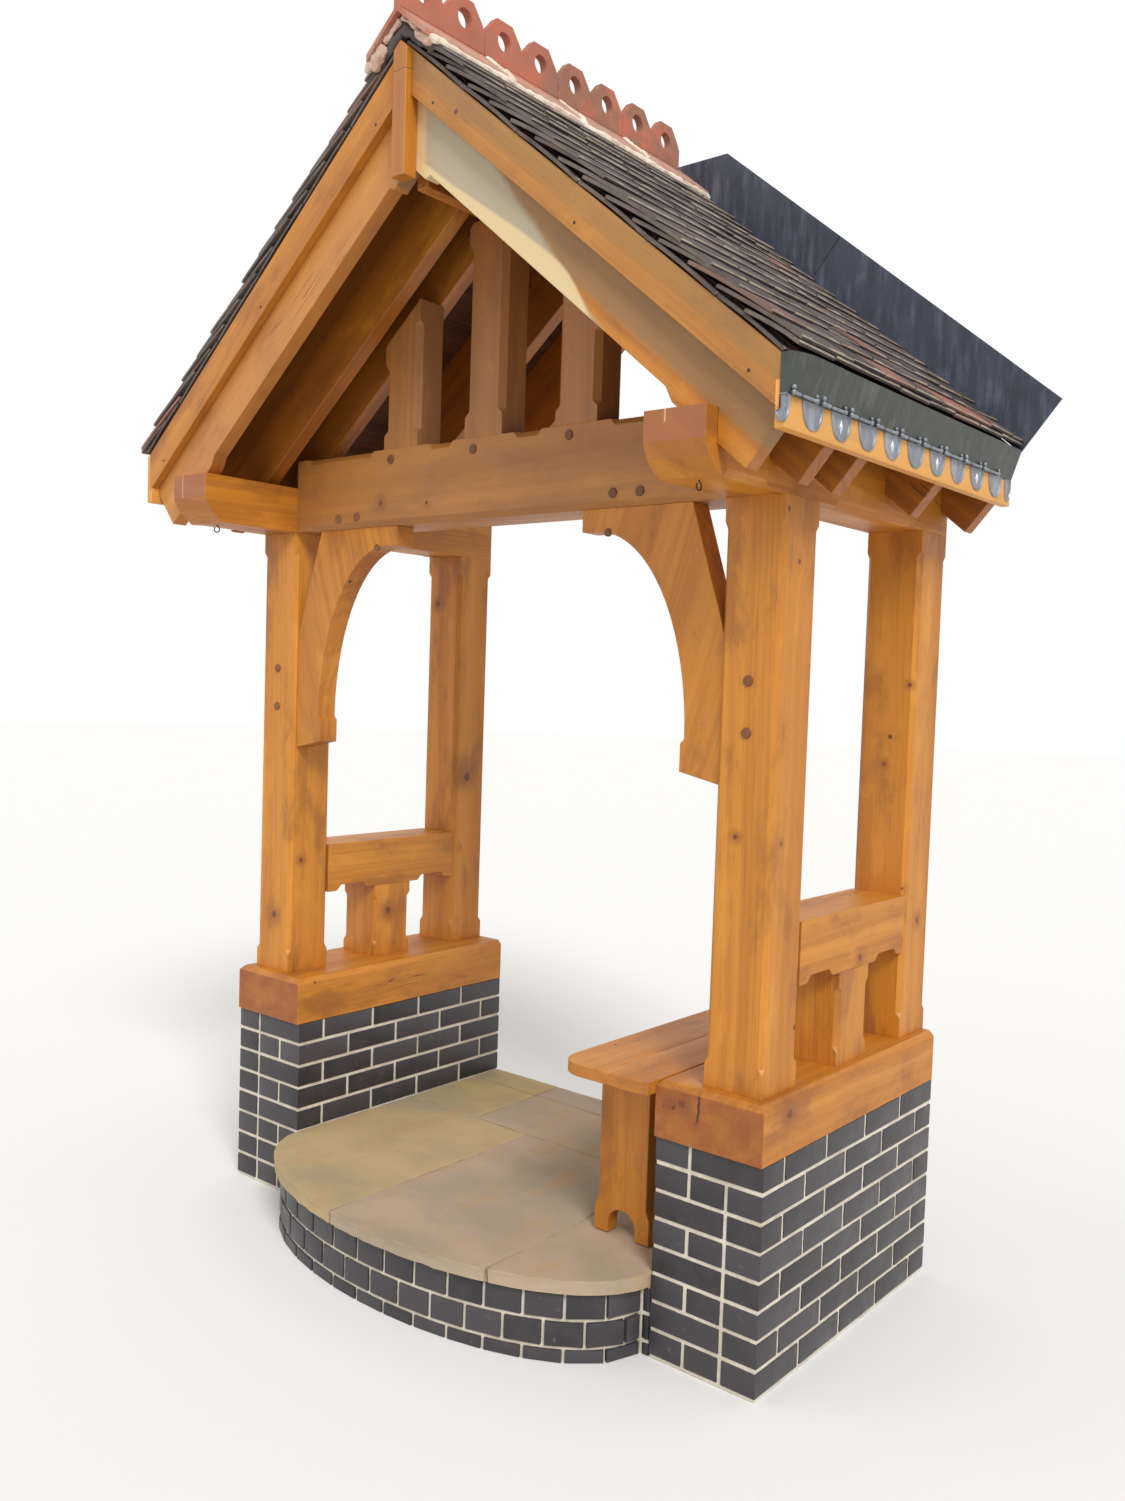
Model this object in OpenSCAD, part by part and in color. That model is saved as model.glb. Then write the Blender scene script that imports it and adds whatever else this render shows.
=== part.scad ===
// Porch canopy: an oak frame with a tiled gable roof, standing on two dwarf brick walls.
// X runs across the porch with 0 on its centreline. The house wall is the plane Y = 0 and the porch
// stands in front of it at negative Y. Z is up, with 0 at the foot of the brickwork. Millimetres.

/* [Brickwork and step] */
// Clear width between the two dwarf walls
passage_w = 1476; // [1300:1:1600]
// Thickness of a dwarf wall
wall_t = 327.5; // [300:0.5:360]
// Length of a dwarf wall out from the house
wall_len = 1002.5; // [950:0.5:1060]
// Height of one brick course with its joint
course_h = 75; // [70:1:80]
// Number of brick courses
courses = 8; // [7:1:9]
// Height of the stone floor above the ground
floor_z = 235; // [200:1:260]
// Thickness of the stone floor
stone_t = 42; // [30:1:60]
// How far the rounded stone floor stands in front of the dwarf walls
step_out = 352; // [280:1:420]
// How far the stone overhangs the brick riser
stone_lip = 24; // [10:1:40]

/* [Sills] */
// Height of the oak sill on each wall
sill_h = 152; // [120:1:180]
// How far the sill stands in front of the brick face
sill_proud = 9; // [0:1:20]
// Chamfer on the upper edges of the sill
sill_ch = 16; // [8:1:24]

/* [Posts and rails] */
// Square section of the posts, rails and wall plates
post_w = 172; // [150:1:180]
// Set-back of the posts from the outer face of the wall
post_inset = 37.5; // [25:0.5:50]
// Distance from the house wall to the front face of the front posts
front_y = 966; // [940:1:985]
// Height of the underside of the wall plates
plate_z = 2262; // [2200:1:2320]
// Leg of the chamfer on the arrises of the posts
arris = 14; // [8:1:20]
// Length of a plain end left below or above a post chamfer
plain_end = 58; // [40:1:90]
// Length of a plain end left on a stub post
stub_end = 35; // [25:1:60]
// Length of the curved stop at the end of a chamfer
stop_l = 22; // [14:1:34]
// Height of the underside of the side rail
rail_z = 1014; // [960:1:1060]
// Depth of the side rail
rail_h = 170; // [150:1:185]
// Height of the shaped rise in the underside of the rail
rail_rise = 20; // [10:1:30]
// Length of the curve at each end of that rise
rail_curve = 28; // [16:1:50]
// Plain length of rail underside beside a post
rail_end = 38; // [25:1:60]

/* [Wall plates and tie beam] */
// Depth of the wall plates
plate_h = 148; // [130:1:160]
// Distance from the house wall to the front end of the wall plates
plate_y = 1330; // [1300:1:1360]
// Height of the square nose at the front end of a wall plate
nose_h = 73; // [50:1:90]
// Length of the sloping cut under that nose
nose_cut = 66; // [40:1:90]
// Length of the steep upper part of the cut
nose_in = 20; // [8:1:34]
// Depth of the steep upper part of the cut
nose_drop = 38; // [20:1:60]
// Plain length left between the cut and the chamfer of a wall plate
plate_end = 12; // [5:1:30]
// Plain length left on a wall plate beside the front posts
plate_stop = 80; // [40:1:110]
// Plain length left on a wall plate beside the rear posts
rear_stop = 30; // [15:1:80]
// Depth of the tie beam
tie_h = 238; // [200:1:260]
// Plain length left beside each upright on the upper edge of the tie beam
tie_end = 45; // [20:1:60]
// Plain length left at the ends of the lower edge of the tie beam
tie_foot = 60; // [30:1:120]
// Leg of the chamfer on the long timbers
beam_ch = 18; // [10:1:24]

/* [Curved braces] */
// How far a brace reaches along the tie beam from the post
brace_reach = 479; // [420:1:520]
// How far a brace reaches down the post below the tie beam
brace_drop = 730; // [650:1:800]
// Thickness of a brace
brace_t = 74; // [50:1:90]
// Set-back of the brace face from the front of the frame
brace_back = 16; // [8:1:40]
// Depth of the square toe at the head of a brace
brace_toe = 62; // [50:1:80]
// Length of that toe along the tie beam
brace_head = 50; // [30:1:80]
// Width of the foot of a brace, out from the post
brace_foot = 113; // [90:1:140]
// Height of the straight part above the foot
brace_stand = 112; // [80:1:150]
// Size of the small step between the curve and the foot
brace_nib = 12; // [6:1:20]
// Height of the sloping cut at the bottom of the foot
brace_base = 26; // [10:1:50]
// Width of the open corner behind a brace, along the tie beam
corner_w = 112; // [60:1:150]
// Height of the open corner behind a brace, down the post
corner_h = 346; // [250:1:420]

/* [King post and struts] */
// Width of the king post and of the struts
king_w = 150; // [120:1:160]
// Thickness of the king post and of the struts
king_t = 100; // [75:1:120]
// Distance of the strut centres from the centreline
strut_x = 354; // [300:1:400]
// Plain length left at the foot of a strut
strut_end = 38; // [25:1:80]

/* [Rafters] */
// Pitch of the roof in degrees
pitch = 39.5; // [38:0.5:41]
// Height of the upper corner of the rafter ends above the wall plates
eaves_up = 101; // [85:1:120]
// Depth of the rafters, square to the slope
rafter_d = 243; // [232:1:250]
// Thickness of the rafters
rafter_t = 50; // [40:1:60]
// How far the rafters run past the outer faces of the posts
rafter_over = 162; // [140:1:185]
// How far the lower corners of the rafter feet stand in from the rafter ends
rafter_tip = 85; // [65:1:105]
// Distance from the house wall to the front face of the outer rafter
rafter_1 = 1050; // [1020:1:1100]
// Distance from the house wall to the front face of the truss rafter
rafter_2 = 880; // [870:1:900]
// Distance from the house wall to the front face of the middle rafter
rafter_3 = 430; // [380:1:560]
// Thickness of the ridge board
ridge_t = 44; // [32:1:60]
// Depth of the ridge board, down from the peak of the rafters
ridge_h = 362; // [345:1:380]

/* [Gable front] */
// Distance from the house wall to the front face of the verge rafters
verge_y = 1283; // [1270:1:1290]
// Thickness of the bargeboards
barge_t = 28; // [20:1:36]
// Depth of the bargeboards, square to the slope
barge_d = 94; // [70:1:110]
// How far the bargeboards run past the rafter ends, across the ends of the fascias
barge_past = 12; // [6:1:16]
// Width of the apex block
apex_w = 52; // [40:1:70]
// Thickness of the apex block
apex_t = 47; // [34:1:60]
// Length of the apex block, down from the peak of the rafters
apex_h = 357; // [325:1:362]
// Depth by which the underside of a verge rafter is cut away between its ends
verge_step = 17; // [8:1:24]
// Distance from the centreline at which that cut begins
verge_in = 60; // [40:1:120]
// Length of plain underside left at the foot of a verge rafter, measured level
verge_foot = 205; // [150:1:260]
// Length of the slope at each end of that cut, measured level
verge_run = 20; // [8:1:40]

/* [Eaves] */
// Thickness of the fascia
fascia_t = 25; // [18:1:32]
// Height of the inner face of the fascia
fascia_h = 171; // [166:1:185]
// Thickness of the sheet lead
lead_t = 4; // [3:0.5:6]
// Depth of the lower edge of the eaves lead below the rafter ends, between its scallops
lead_h = 99; // [86:1:109]
// How far the eaves lead leans out up to the tiles
lead_lean = 29; // [10:1:34]
// Half width of a lead scallop
scallop_w = 47; // [30:1:55]
// Drop of a lead scallop
scallop_h = 60; // [40:1:64]
// Spacing of the lead scallops
scallop_p = 133.75; // [120:0.25:150]
// Distance from the house wall to the middle of the first whole scallop
scallop_y = 122; // [60:1:130]
// Half width of the scallop dressed around the front corner
wrap_w = 27; // [18:1:36]
// How far the middle of that scallop stands from the corner
wrap_x = 5; // [0:1:12]

/* [Roof covering] */
// Thickness of the battens and tiles together, measured plumb
tile_v = 70; // [60:1:80]
// Exposed drop of a tile edge, measured plumb
tile_edge = 15; // [8:1:20]
// Number of tile courses up each slope
tile_rows = 16; // [14:1:18]
// How far the tiles reach past the fascia
eaves_over = 40; // [38:1:60]
// Thickness of the tiles past the fascia, measured plumb
tile_tail = 35; // [30:1:50]
// How far the tiles reach past the bargeboards
verge_over = 12; // [6:1:40]
// How far the underside of the tiles rises past the bargeboards, measured plumb
verge_lift = 12; // [4:1:20]
// How far the ridge tiles reach past the verge of the tiles
ridge_over = 22; // [5:1:30]
// Wall of the ridge tiles, measured plumb
ridge_v = 18; // [12:1:24]
// Half width of the ridge tiles
ridge_w = 120; // [100:1:140]
// Length of one ridge tile
ridge_l = 327; // [300:1:330]
// Gap between two ridge tiles
ridge_gap = 2; // [1:0.5:4]
// Thickness of the upright crest of the ridge tiles
crest_t = 26; // [20:1:36]
// Height of the crest above the ridge tile
crest_h = 116; // [90:1:140]
// Height of the upright sides of each half of the crest
crest_side = 52; // [40:1:60]
// Height of the shoulders of the crest
crest_shoulder = 72; // [62:1:84]
// How far the shoulders stand in from the upright sides
crest_in = 11; // [6:1:20]
// Half width of the level top of each half of the crest
crest_flat = 33; // [20:1:50]
// Diameter of the holes in the crest
crest_hole = 55; // [40:1:64]
// Height of the middle of a hole above the ridge tile
crest_hole_z = 60; // [50:1:70]
// Depth of the wall flashing above the tiles, measured plumb
flash_v = 190; // [150:1:220]
// How far the level top of the wall flashing stands above the ridge tiles
flash_rise = 15; // [10:1:60]
// How far the wall flashing reaches past the eaves of the tiles
flash_over = 5; // [1:1:15]

/* [Bench] */
// Width of the bench seat, out from the dwarf wall
seat_w = 308; // [270:1:360]
// Thickness of the bench seat
seat_t = 34; // [25:1:45]
// How far the top of the seat stands below the top of the sill
seat_down = 4; // [0:1:15]
// Width of the outer board of the seat
seat_board = 160; // [100:1:200]
// Width and depth of the groove between the boards of the seat
board_gap = 3; // [2:1:6]
// How far the seat stands in front of the sill
seat_out = 38; // [20:1:60]
// Radius of the free corner of the seat
seat_r = 78; // [40:1:100]
// Distance of the free edge of the leg from the dwarf wall
leg_in = 263; // [238:1:268]
// Width of the leg board
leg_w = 166; // [140:1:180]
// Thickness of the leg board
leg_t = 45; // [35:1:55]
// Set-back of the leg behind the front edge of the seat
leg_back = 152; // [100:1:200]
// Half width of the arched cut in the foot of the leg
leg_arch = 47; // [30:1:55]
// Height of the upright sides of that cut
leg_arch_z = 28; // [10:1:50]
// How far the foot of the leg widens on each side
leg_flare = 12; // [5:1:20]
// Height of the wide foot of the leg
leg_foot = 70; // [50:1:85]
// Height at which the leg has its full width again
leg_waist = 95; // [90:1:140]

/* [Hidden] */
wall_in = passage_w / 2;
wall_out = wall_in + wall_t;
wall_z = course_h * courses;
sill_z = wall_z + sill_h;
sill_y = wall_len + sill_proud;
post_out = wall_out - post_inset;
post_in = post_out - post_w;
rear_y = post_w;
stub_y = (front_y + rear_y) / 2;
rail_top = rail_z + rail_h;
plate_top = plate_z + plate_h;
tie_z = plate_z + tie_h;
slope = tan(pitch);
plumb = 1 / cos(pitch);
rafter_end = post_out + rafter_over;
tip_x = rafter_end - rafter_tip;
eaves_z = plate_top + eaves_up;
rafter_top = eaves_z + slope * rafter_end;
rafter_low = rafter_top - rafter_d * plumb;
ridge_z = rafter_top - ridge_h;
apex_z = rafter_top - apex_h;
barge_y = verge_y + barge_t;
barge_end = rafter_end + barge_past;
barge_low = rafter_top - barge_d * plumb;
fascia_x = rafter_end + fascia_t;
fascia_z = eaves_z - fascia_h;
lead_z = eaves_z - lead_h;
tile_x = fascia_x + eaves_over;
tile_y = barge_y + verge_over;
tile_top = rafter_top + tile_v;
tile_low = tile_top - tile_tail;
ridge_y = tile_y + ridge_over;
ridge_top = tile_top + ridge_v;
flash_top = ridge_top + flash_rise;
lead_x = fascia_x + lead_t;
lead_y = barge_y + lead_t;
lead_out = lead_x + lead_lean;
seat_x = wall_in - seat_w;
seat_y = sill_y + seat_out;
seat_z = sill_z - seat_down - seat_t;
leg_x = wall_in - leg_in;
over = 1; // how far a cutter stands out of what it cuts
eps = 0.01; // overlap of two parts of one solid
oak = [0.86, 0.58, 0.28];
oak_dark = [0.62, 0.40, 0.20];
brick = [0.24, 0.24, 0.27];
tile = [0.25, 0.20, 0.20];
lead = [0.34, 0.37, 0.40];

// Helpers

// A profile drawn in X and Z, made from y to y + t in front of the house wall
module in_front(y, t) translate([0, -y, 0]) rotate([90, 0, 0]) linear_extrude(t) children();

// A profile drawn in Y and Z, made from x to x + t
module across(x, t) translate([x, 0, 0]) rotate([90, 0, 90]) linear_extrude(t) children();

// A box between two corners
module box(a, b) translate(a) cube(b - a);

// Cutter for a chamfer of leg c along Z from a to b, with an S-curved stop of length s at each end.
// The arris lies on the Z axis and the timber on the +X side of it.
module stopped(a, b, c, s) {
  d = c * sin(45);
  rotate([90, 0, 0]) linear_extrude(4 * c, center = true) polygon(concat(
    [[-c, a]], [for (i = [0:6]) [d * (1 - cos(30 * i)) / 2, a + s * i / 6]],
    [for (i = [6:-1:0]) [d * (1 - cos(30 * i)) / 2, b - s * i / 6]], [[-c, b]]));
}

// The four arris cutters of an upright whose corners are x0, y0 and x1, y1
module upright_cuts(x0, y0, x1, y1, a, b, c, s) {
  translate([x0, y0, 0]) rotate([0, 0, 45]) stopped(a, b, c, s);
  translate([x1, y0, 0]) rotate([0, 0, 135]) stopped(a, b, c, s);
  translate([x1, y1, 0]) rotate([0, 0, 225]) stopped(a, b, c, s);
  translate([x0, y1, 0]) rotate([0, 0, 315]) stopped(a, b, c, s);
}

// Height on the line parallel to the slope that meets the centreline at z, at distance x from it
function on_slope(z, x) = z - slope * x;

// Brickwork, step and sills, drawn on the right-hand side

module dwarf_wall() {
  color(brick) box([wall_in, -wall_len, 0], [wall_out, 0, wall_z]);
}

// Outline of the floor between the walls with its rounded front, drawn in by inset
module floor_shape(inset) {
  a = wall_in - inset;
  b = step_out - inset;
  polygon(concat([[wall_in, 0], [-wall_in, 0], [-wall_in, -wall_len]],
    [for (i = [0:36]) [-a * cos(5 * i), -wall_len - b * sin(5 * i)]], [[wall_in, -wall_len]]));
}

module step_riser() {
  color(brick) linear_extrude(floor_z - stone_t) floor_shape(stone_lip);
}

module stone_floor() {
  color([0.66, 0.62, 0.52]) translate([0, 0, floor_z - stone_t]) linear_extrude(stone_t) floor_shape(0);
}

module sill() {
  color(oak) difference() {
    box([wall_in, -sill_y, wall_z], [wall_out, 0, sill_z]);
    for (x = [wall_in, wall_out]) in_front(-over, sill_y + 2 * over)
      translate([x, sill_z]) rotate(45) square(sill_ch * sqrt(2), center = true);
    across(wall_in - over, wall_t + 2 * over)
      translate([-sill_y, sill_z]) rotate(45) square(sill_ch * sqrt(2), center = true);
  }
}

// Posts and rails

module post(y) {
  color(oak) difference() {
    box([post_in, -y, sill_z], [post_out, -y + post_w, plate_z]);
    upright_cuts(post_in, -y, post_out, -y + post_w,
      sill_z + plain_end, plate_z - plain_end, arris, stop_l);
  }
}

module stub_post() {
  color(oak) difference() {
    box([post_in, -stub_y, sill_z], [post_out, -stub_y + post_w, rail_z]);
    upright_cuts(post_in, -stub_y, post_out, -stub_y + post_w,
      sill_z + stub_end, rail_z - stub_end, arris, stop_l);
  }
}

// The risen part of the rail underside from y0 to y1
module rail_cut(y0, y1) {
  s = rail_rise;
  c = rail_curve;
  polygon(concat([[y0, rail_z - over]],
    [for (i = [0:6]) [y0 + c * i / 6, rail_z + s * (1 - cos(30 * i)) / 2]],
    [for (i = [6:-1:0]) [y1 - c * i / 6, rail_z + s * (1 - cos(30 * i)) / 2]], [[y1, rail_z - over]]));
}

module side_rail() {
  color(oak) difference() {
    box([post_in, -front_y + post_w, rail_z], [post_out, -rear_y, rail_top]);
    across(post_in - over, post_w + 2 * over) {
      rail_cut(-front_y + post_w + rail_end, -stub_y - rail_end);
      rail_cut(-stub_y + post_w + rail_end, -rear_y - rail_end);
    }
  }
}

// Wall plates and tie beam

module wall_plate() {
  color(oak) difference() {
    across(post_in, post_w) polygon([[0, plate_z], [0, plate_top], [-plate_y, plate_top],
      [-plate_y, plate_top - nose_h], [-plate_y + nose_in, plate_top - nose_h - nose_drop],
      [-plate_y + nose_cut, plate_z]]);
    for (y = [[-plate_y + nose_cut + plate_end, -front_y - plate_stop],
        [-front_y + post_w + plate_stop, -rear_y - rear_stop]])
      translate([post_out, 0, plate_z]) rotate([-90, 0, 0]) rotate([0, 0, 225])
        stopped(y[0], y[1], beam_ch, stop_l);
  }
}

module tie_beam() {
  bays = [[-post_in, -strut_x - king_w / 2], [-strut_x + king_w / 2, -king_w / 2],
    [king_w / 2, strut_x - king_w / 2], [strut_x + king_w / 2, post_in]];
  color(oak) difference() {
    box([-post_in, -front_y, plate_z], [post_in, -front_y + post_w, tie_z]);
    for (b = bays) translate([0, -front_y, tie_z]) rotate([0, 90, 0]) rotate([0, 0, 45])
      stopped(b[0] + tie_end, b[1] - tie_end, beam_ch, stop_l);
    translate([0, -front_y, plate_z]) rotate([0, 90, 0]) rotate([0, 0, 135])
      stopped(-post_in + tie_foot, post_in - tie_foot, beam_ch, stop_l);
  }
}

module brace() {
  z0 = plate_z - brace_drop;
  x0 = post_in - brace_reach;
  cx = x0 + brace_head;
  a = brace_reach - brace_head - brace_foot;
  zc = z0 + brace_stand;
  b = plate_z - brace_toe - zc;
  n = brace_nib;
  color(oak) in_front(front_y - brace_back - brace_t, brace_t) polygon(concat(
    [[post_in, z0], [post_in, plate_z - corner_h], [post_in - corner_w, plate_z], [x0, plate_z],
      [x0, plate_z - brace_toe], [cx, plate_z - brace_toe]],
    [for (i = [0:18]) [cx + a * sin(5 * i), zc + b * cos(5 * i)]],
    [[cx + a - n, zc - n], [cx + a - n, z0 + brace_base]]));
}

// Truss members above the tie beam

module king_post() {
  y0 = -front_y;
  color(oak_dark) difference() {
    in_front(front_y - king_t, king_t) polygon([[-king_w / 2, tie_z], [king_w / 2, tie_z],
      [king_w / 2, on_slope(rafter_low, king_w / 2)], [(rafter_low - ridge_z) / slope, ridge_z],
      [-(rafter_low - ridge_z) / slope, ridge_z], [-king_w / 2, on_slope(rafter_low, king_w / 2)]]);
    for (x = [-1, 1]) translate([x * king_w / 2, y0, 0]) rotate([0, 0, 90 + 45 * x])
      stopped(tie_z + plain_end, ridge_z - plain_end, beam_ch, stop_l);
  }
}

module strut() {
  x0 = strut_x - king_w / 2;
  x1 = strut_x + king_w / 2;
  color(oak_dark) difference() {
    in_front(front_y - king_t, king_t) polygon([[x0, tie_z], [x1, tie_z],
      [x1, on_slope(rafter_low, x1)], [x0, on_slope(rafter_low, x0)]]);
    for (s = [[x0, 45, x0], [x1, 135, x1]]) translate([s[0], -front_y, 0]) rotate([0, 0, s[1]])
      stopped(tie_z + strut_end, on_slope(rafter_low, s[2]) - plain_end, beam_ch, stop_l);
  }
}

// Rafters, ridge board and gable boards

// Profile of a rafter from x0 outward with its foot cut square to the slope
module rafter_shape(x0) {
  e = rafter_end;
  z_tip = on_slope(rafter_low, tip_x);
  polygon([[x0, on_slope(rafter_top, x0)], [e, on_slope(rafter_top, e)],
    [e, z_tip + (e - tip_x) / slope], [tip_x, z_tip], [x0, on_slope(rafter_low, x0)]]);
}

module rafters() {
  color(oak_dark) difference() {
    for (y = [rafter_1, rafter_2, rafter_3, rafter_t]) in_front(y - rafter_t, rafter_t)
      rafter_shape(ridge_t / 2);
    box([post_in, -plate_y, plate_z - over], [post_out, over, plate_top]);
    box([0, -front_y, plate_z], [post_in, -front_y + post_w, tie_z]);
  }
}

module ridge_board() {
  h = ridge_t / 2;
  color(oak_dark) in_front(0, verge_y - rafter_t) polygon([[-h, ridge_z], [h, ridge_z],
    [h, on_slope(rafter_top, h)], [0, rafter_top], [-h, on_slope(rafter_top, h)]]);
}

module verge_rafter() {
  x1 = verge_in;
  x2 = tip_x - verge_foot;
  low = rafter_low - over;
  cut = rafter_low + verge_step * plumb;
  color(oak) difference() {
    in_front(verge_y - rafter_t, rafter_t) rafter_shape(0);
    in_front(verge_y - rafter_t - over, rafter_t + 2 * over) polygon([[x1, on_slope(low, x1)],
      [x1 + verge_run, on_slope(cut, x1 + verge_run)], [x2 - verge_run, on_slope(cut, x2 - verge_run)],
      [x2, on_slope(low, x2)]]);
    box([post_in, -plate_y, plate_z - over], [post_out, over, plate_top]);
  }
}

// Profile of a bargeboard from x0 to its plumb end, up to the slope line top
module barge_shape(x0, top) {
  e = barge_end;
  polygon([[x0, on_slope(top, x0)], [e, on_slope(top, e)], [e, on_slope(barge_low, e)],
    [x0, on_slope(barge_low, x0)]]);
}

module bargeboard() {
  color(oak) in_front(verge_y, barge_t) barge_shape(apex_w / 2, rafter_top);
}

module apex_block() {
  h = apex_w / 2;
  color(oak) in_front(verge_y, apex_t) polygon([[-h, apex_z], [h, apex_z],
    [h, on_slope(rafter_top, h)], [0, rafter_top], [-h, on_slope(rafter_top, h)]]);
}

// Eaves

// The fascia, let in at the front for the end of the bargeboard
module fascia() {
  color(oak) difference() {
    in_front(0, barge_y) polygon([[rafter_end, fascia_z], [fascia_x, fascia_z],
      [fascia_x, on_slope(rafter_top, fascia_x)], [rafter_end, on_slope(rafter_top, rafter_end)]]);
    in_front(verge_y, barge_t + over) barge_shape(rafter_end - over, rafter_top + over);
  }
}

// Lower half of an oval of half width w, hanging from the lower edge of the eaves lead
module scallop(w) translate([0, lead_z])
  polygon([for (i = [0:24]) [w * cos(7.5 * i), -scallop_h * sin(7.5 * i)]]);

module eaves_lead() {
  n = floor((lead_y - scallop_y - scallop_w) / scallop_p);
  top = [lead_out, on_slope(tile_low, lead_out)];
  color(lead) {
    in_front(lead_t, lead_y - lead_t) polygon([[fascia_x, lead_z], [lead_x, lead_z], top,
      [lead_out - lead_t, on_slope(tile_low, lead_out - lead_t)]]);
    across(fascia_x, lead_t) intersection() {
      union() {
        for (k = [-1:n]) translate([-scallop_y - scallop_p * k, 0]) scallop(scallop_w);
        translate([-lead_y - wrap_x, 0]) scallop(wrap_w);
      }
      translate([-lead_y, 0]) square([lead_y - lead_t, lead_z]);
    }
    in_front(barge_y, lead_t) difference() {
      union() {
        polygon([[barge_end, lead_z], [lead_x, lead_z], top, [barge_end, on_slope(rafter_top, barge_end)]]);
        intersection() {
          translate([lead_x - wrap_x, 0]) scallop(wrap_w);
          square([lead_x, lead_z]);
        }
      }
      barge_shape(barge_end - 2 * wrap_w, tile_top);
    }
  }
}

// Roof covering

// Profile of one slope of battens and tiles in X and Z, with stepped courses on top and its
// underside at the slope line b; past x the underside is the tiles alone
module slope_shape(b, x) {
  run = tile_x / tile_rows;
  polygon(concat([[0, b], [x, on_slope(b, x)], [x, on_slope(tile_low, x)],
      [tile_x, on_slope(tile_low, tile_x)]],
    [for (i = [tile_rows:-1:1]) each [[i * run, on_slope(tile_top, i * run)],
      [(i - 1) * run, on_slope(tile_top, (i - 1) * run) - tile_edge]]], [[0, b]]));
}

module tile_slope() {
  color(tile) {
    in_front(0, barge_y) slope_shape(rafter_top, fascia_x);
    in_front(barge_y - eps, verge_over + eps) slope_shape(rafter_top + verge_lift, fascia_x);
  }
}

// One ridge tile with its pierced crest, from y = 0 forward
module ridge_tile(len, crest) {
  w = len / 4;
  s = w - crest_in;
  in_front(0, len) polygon([[0, ridge_top], [ridge_w, on_slope(ridge_top, ridge_w)],
    [ridge_w, on_slope(tile_top, ridge_w)], [0, tile_top],
    [-ridge_w, on_slope(tile_top, ridge_w)], [-ridge_w, on_slope(ridge_top, ridge_w)]]);
  if (crest) difference() {
    across(-crest_t / 2, crest_t) for (k = [1, 3]) translate([-k * w, ridge_top])
      polygon([[-w, -ridge_v / 2], [w, -ridge_v / 2], [w, crest_side], [s, crest_shoulder],
        [crest_flat, crest_h], [-crest_flat, crest_h], [-s, crest_shoulder], [-w, crest_side]]);
    for (k = [1, 3]) translate([0, -k * w, ridge_top + crest_hole_z])
      rotate([0, 90, 0]) cylinder(h = crest_t * 2, d = crest_hole, center = true, $fn = 48);
  }
}

module ridge_tiles() {
  rest = ridge_y - 4 * ridge_l;
  color([0.72, 0.42, 0.33]) {
    translate([0, -lead_t, 0]) ridge_tile(rest - lead_t - ridge_gap, false);
    for (i = [0:3]) translate([0, -rest - i * ridge_l, 0])
      ridge_tile(ridge_l - (i < 3 ? ridge_gap : 0), true);
  }
}

module flashing() {
  x1 = tile_x + flash_over;
  top = tile_top + flash_v;
  d = flash_v * cos(pitch);
  z1 = on_slope(tile_top, x1);
  color(lead) in_front(0, lead_t) polygon([[0, tile_top], [x1, z1],
    [x1 + d * sin(pitch), z1 + d * cos(pitch)], [(top - flash_top) / slope, flash_top], [0, flash_top]]);
}

// Bench

module bench_seat() {
  color(oak) difference() {
    translate([0, 0, seat_z]) linear_extrude(seat_t) difference() {
      translate([seat_x, -seat_y]) square([seat_w, seat_y]);
      translate([seat_x, -seat_y]) difference() {
        translate([-over, -over]) square(seat_r + over);
        translate([seat_r, seat_r]) circle(r = seat_r, $fn = 64);
      }
    }
    translate([seat_x + seat_board, -seat_y - over, seat_z + seat_t - board_gap])
      cube([board_gap, seat_y + 2 * over, board_gap + over]);
  }
}

module bench_leg() {
  y = seat_y - leg_back;
  a = leg_x;
  b = leg_x + leg_w;
  cx = (a + b) / 2;
  color(oak) in_front(y - leg_t, leg_t) difference() {
    polygon([[a - leg_flare, floor_z], [a - leg_flare, floor_z + leg_foot], [a, floor_z + leg_waist],
      [a, seat_z], [b, seat_z], [b, floor_z + leg_waist], [b + leg_flare, floor_z + leg_foot],
      [b + leg_flare, floor_z]]);
    translate([cx, floor_z + leg_arch_z]) circle(r = leg_arch, $fn = 64);
    translate([cx - leg_arch, floor_z - over]) square([2 * leg_arch, leg_arch_z + over]);
  }
}

mirror([1, 0, 0]) dwarf_wall();  // wall_left
dwarf_wall();  // wall_right
step_riser();
stone_floor();
mirror([1, 0, 0]) sill();  // sill_left
sill();  // sill_right
mirror([1, 0, 0]) post(front_y);  // post_front_left
post(front_y);  // post_front_right
mirror([1, 0, 0]) post(rear_y);  // post_rear_left
post(rear_y);  // post_rear_right
mirror([1, 0, 0]) stub_post();  // stub_post_left
stub_post();  // stub_post_right
mirror([1, 0, 0]) side_rail();  // side_rail_left
side_rail();  // side_rail_right
mirror([1, 0, 0]) wall_plate();  // wall_plate_left
wall_plate();  // wall_plate_right
tie_beam();
mirror([1, 0, 0]) brace();  // brace_left
brace();  // brace_right
king_post();
mirror([1, 0, 0]) strut();  // strut_left
strut();  // strut_right
mirror([1, 0, 0]) rafters();  // rafters_left
rafters();  // rafters_right
ridge_board();
mirror([1, 0, 0]) verge_rafter();  // verge_rafter_left
verge_rafter();  // verge_rafter_right
mirror([1, 0, 0]) bargeboard();  // bargeboard_left
bargeboard();  // bargeboard_right
apex_block();
mirror([1, 0, 0]) fascia();  // fascia_left
fascia();  // fascia_right
mirror([1, 0, 0]) tile_slope();  // tile_slope_left
tile_slope();  // tile_slope_right
ridge_tiles();
mirror([1, 0, 0]) flashing();  // flashing_left
flashing();  // flashing_right
mirror([1, 0, 0]) eaves_lead();  // eaves_lead_left
eaves_lead();  // eaves_lead_right
bench_seat();
bench_leg();
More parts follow.
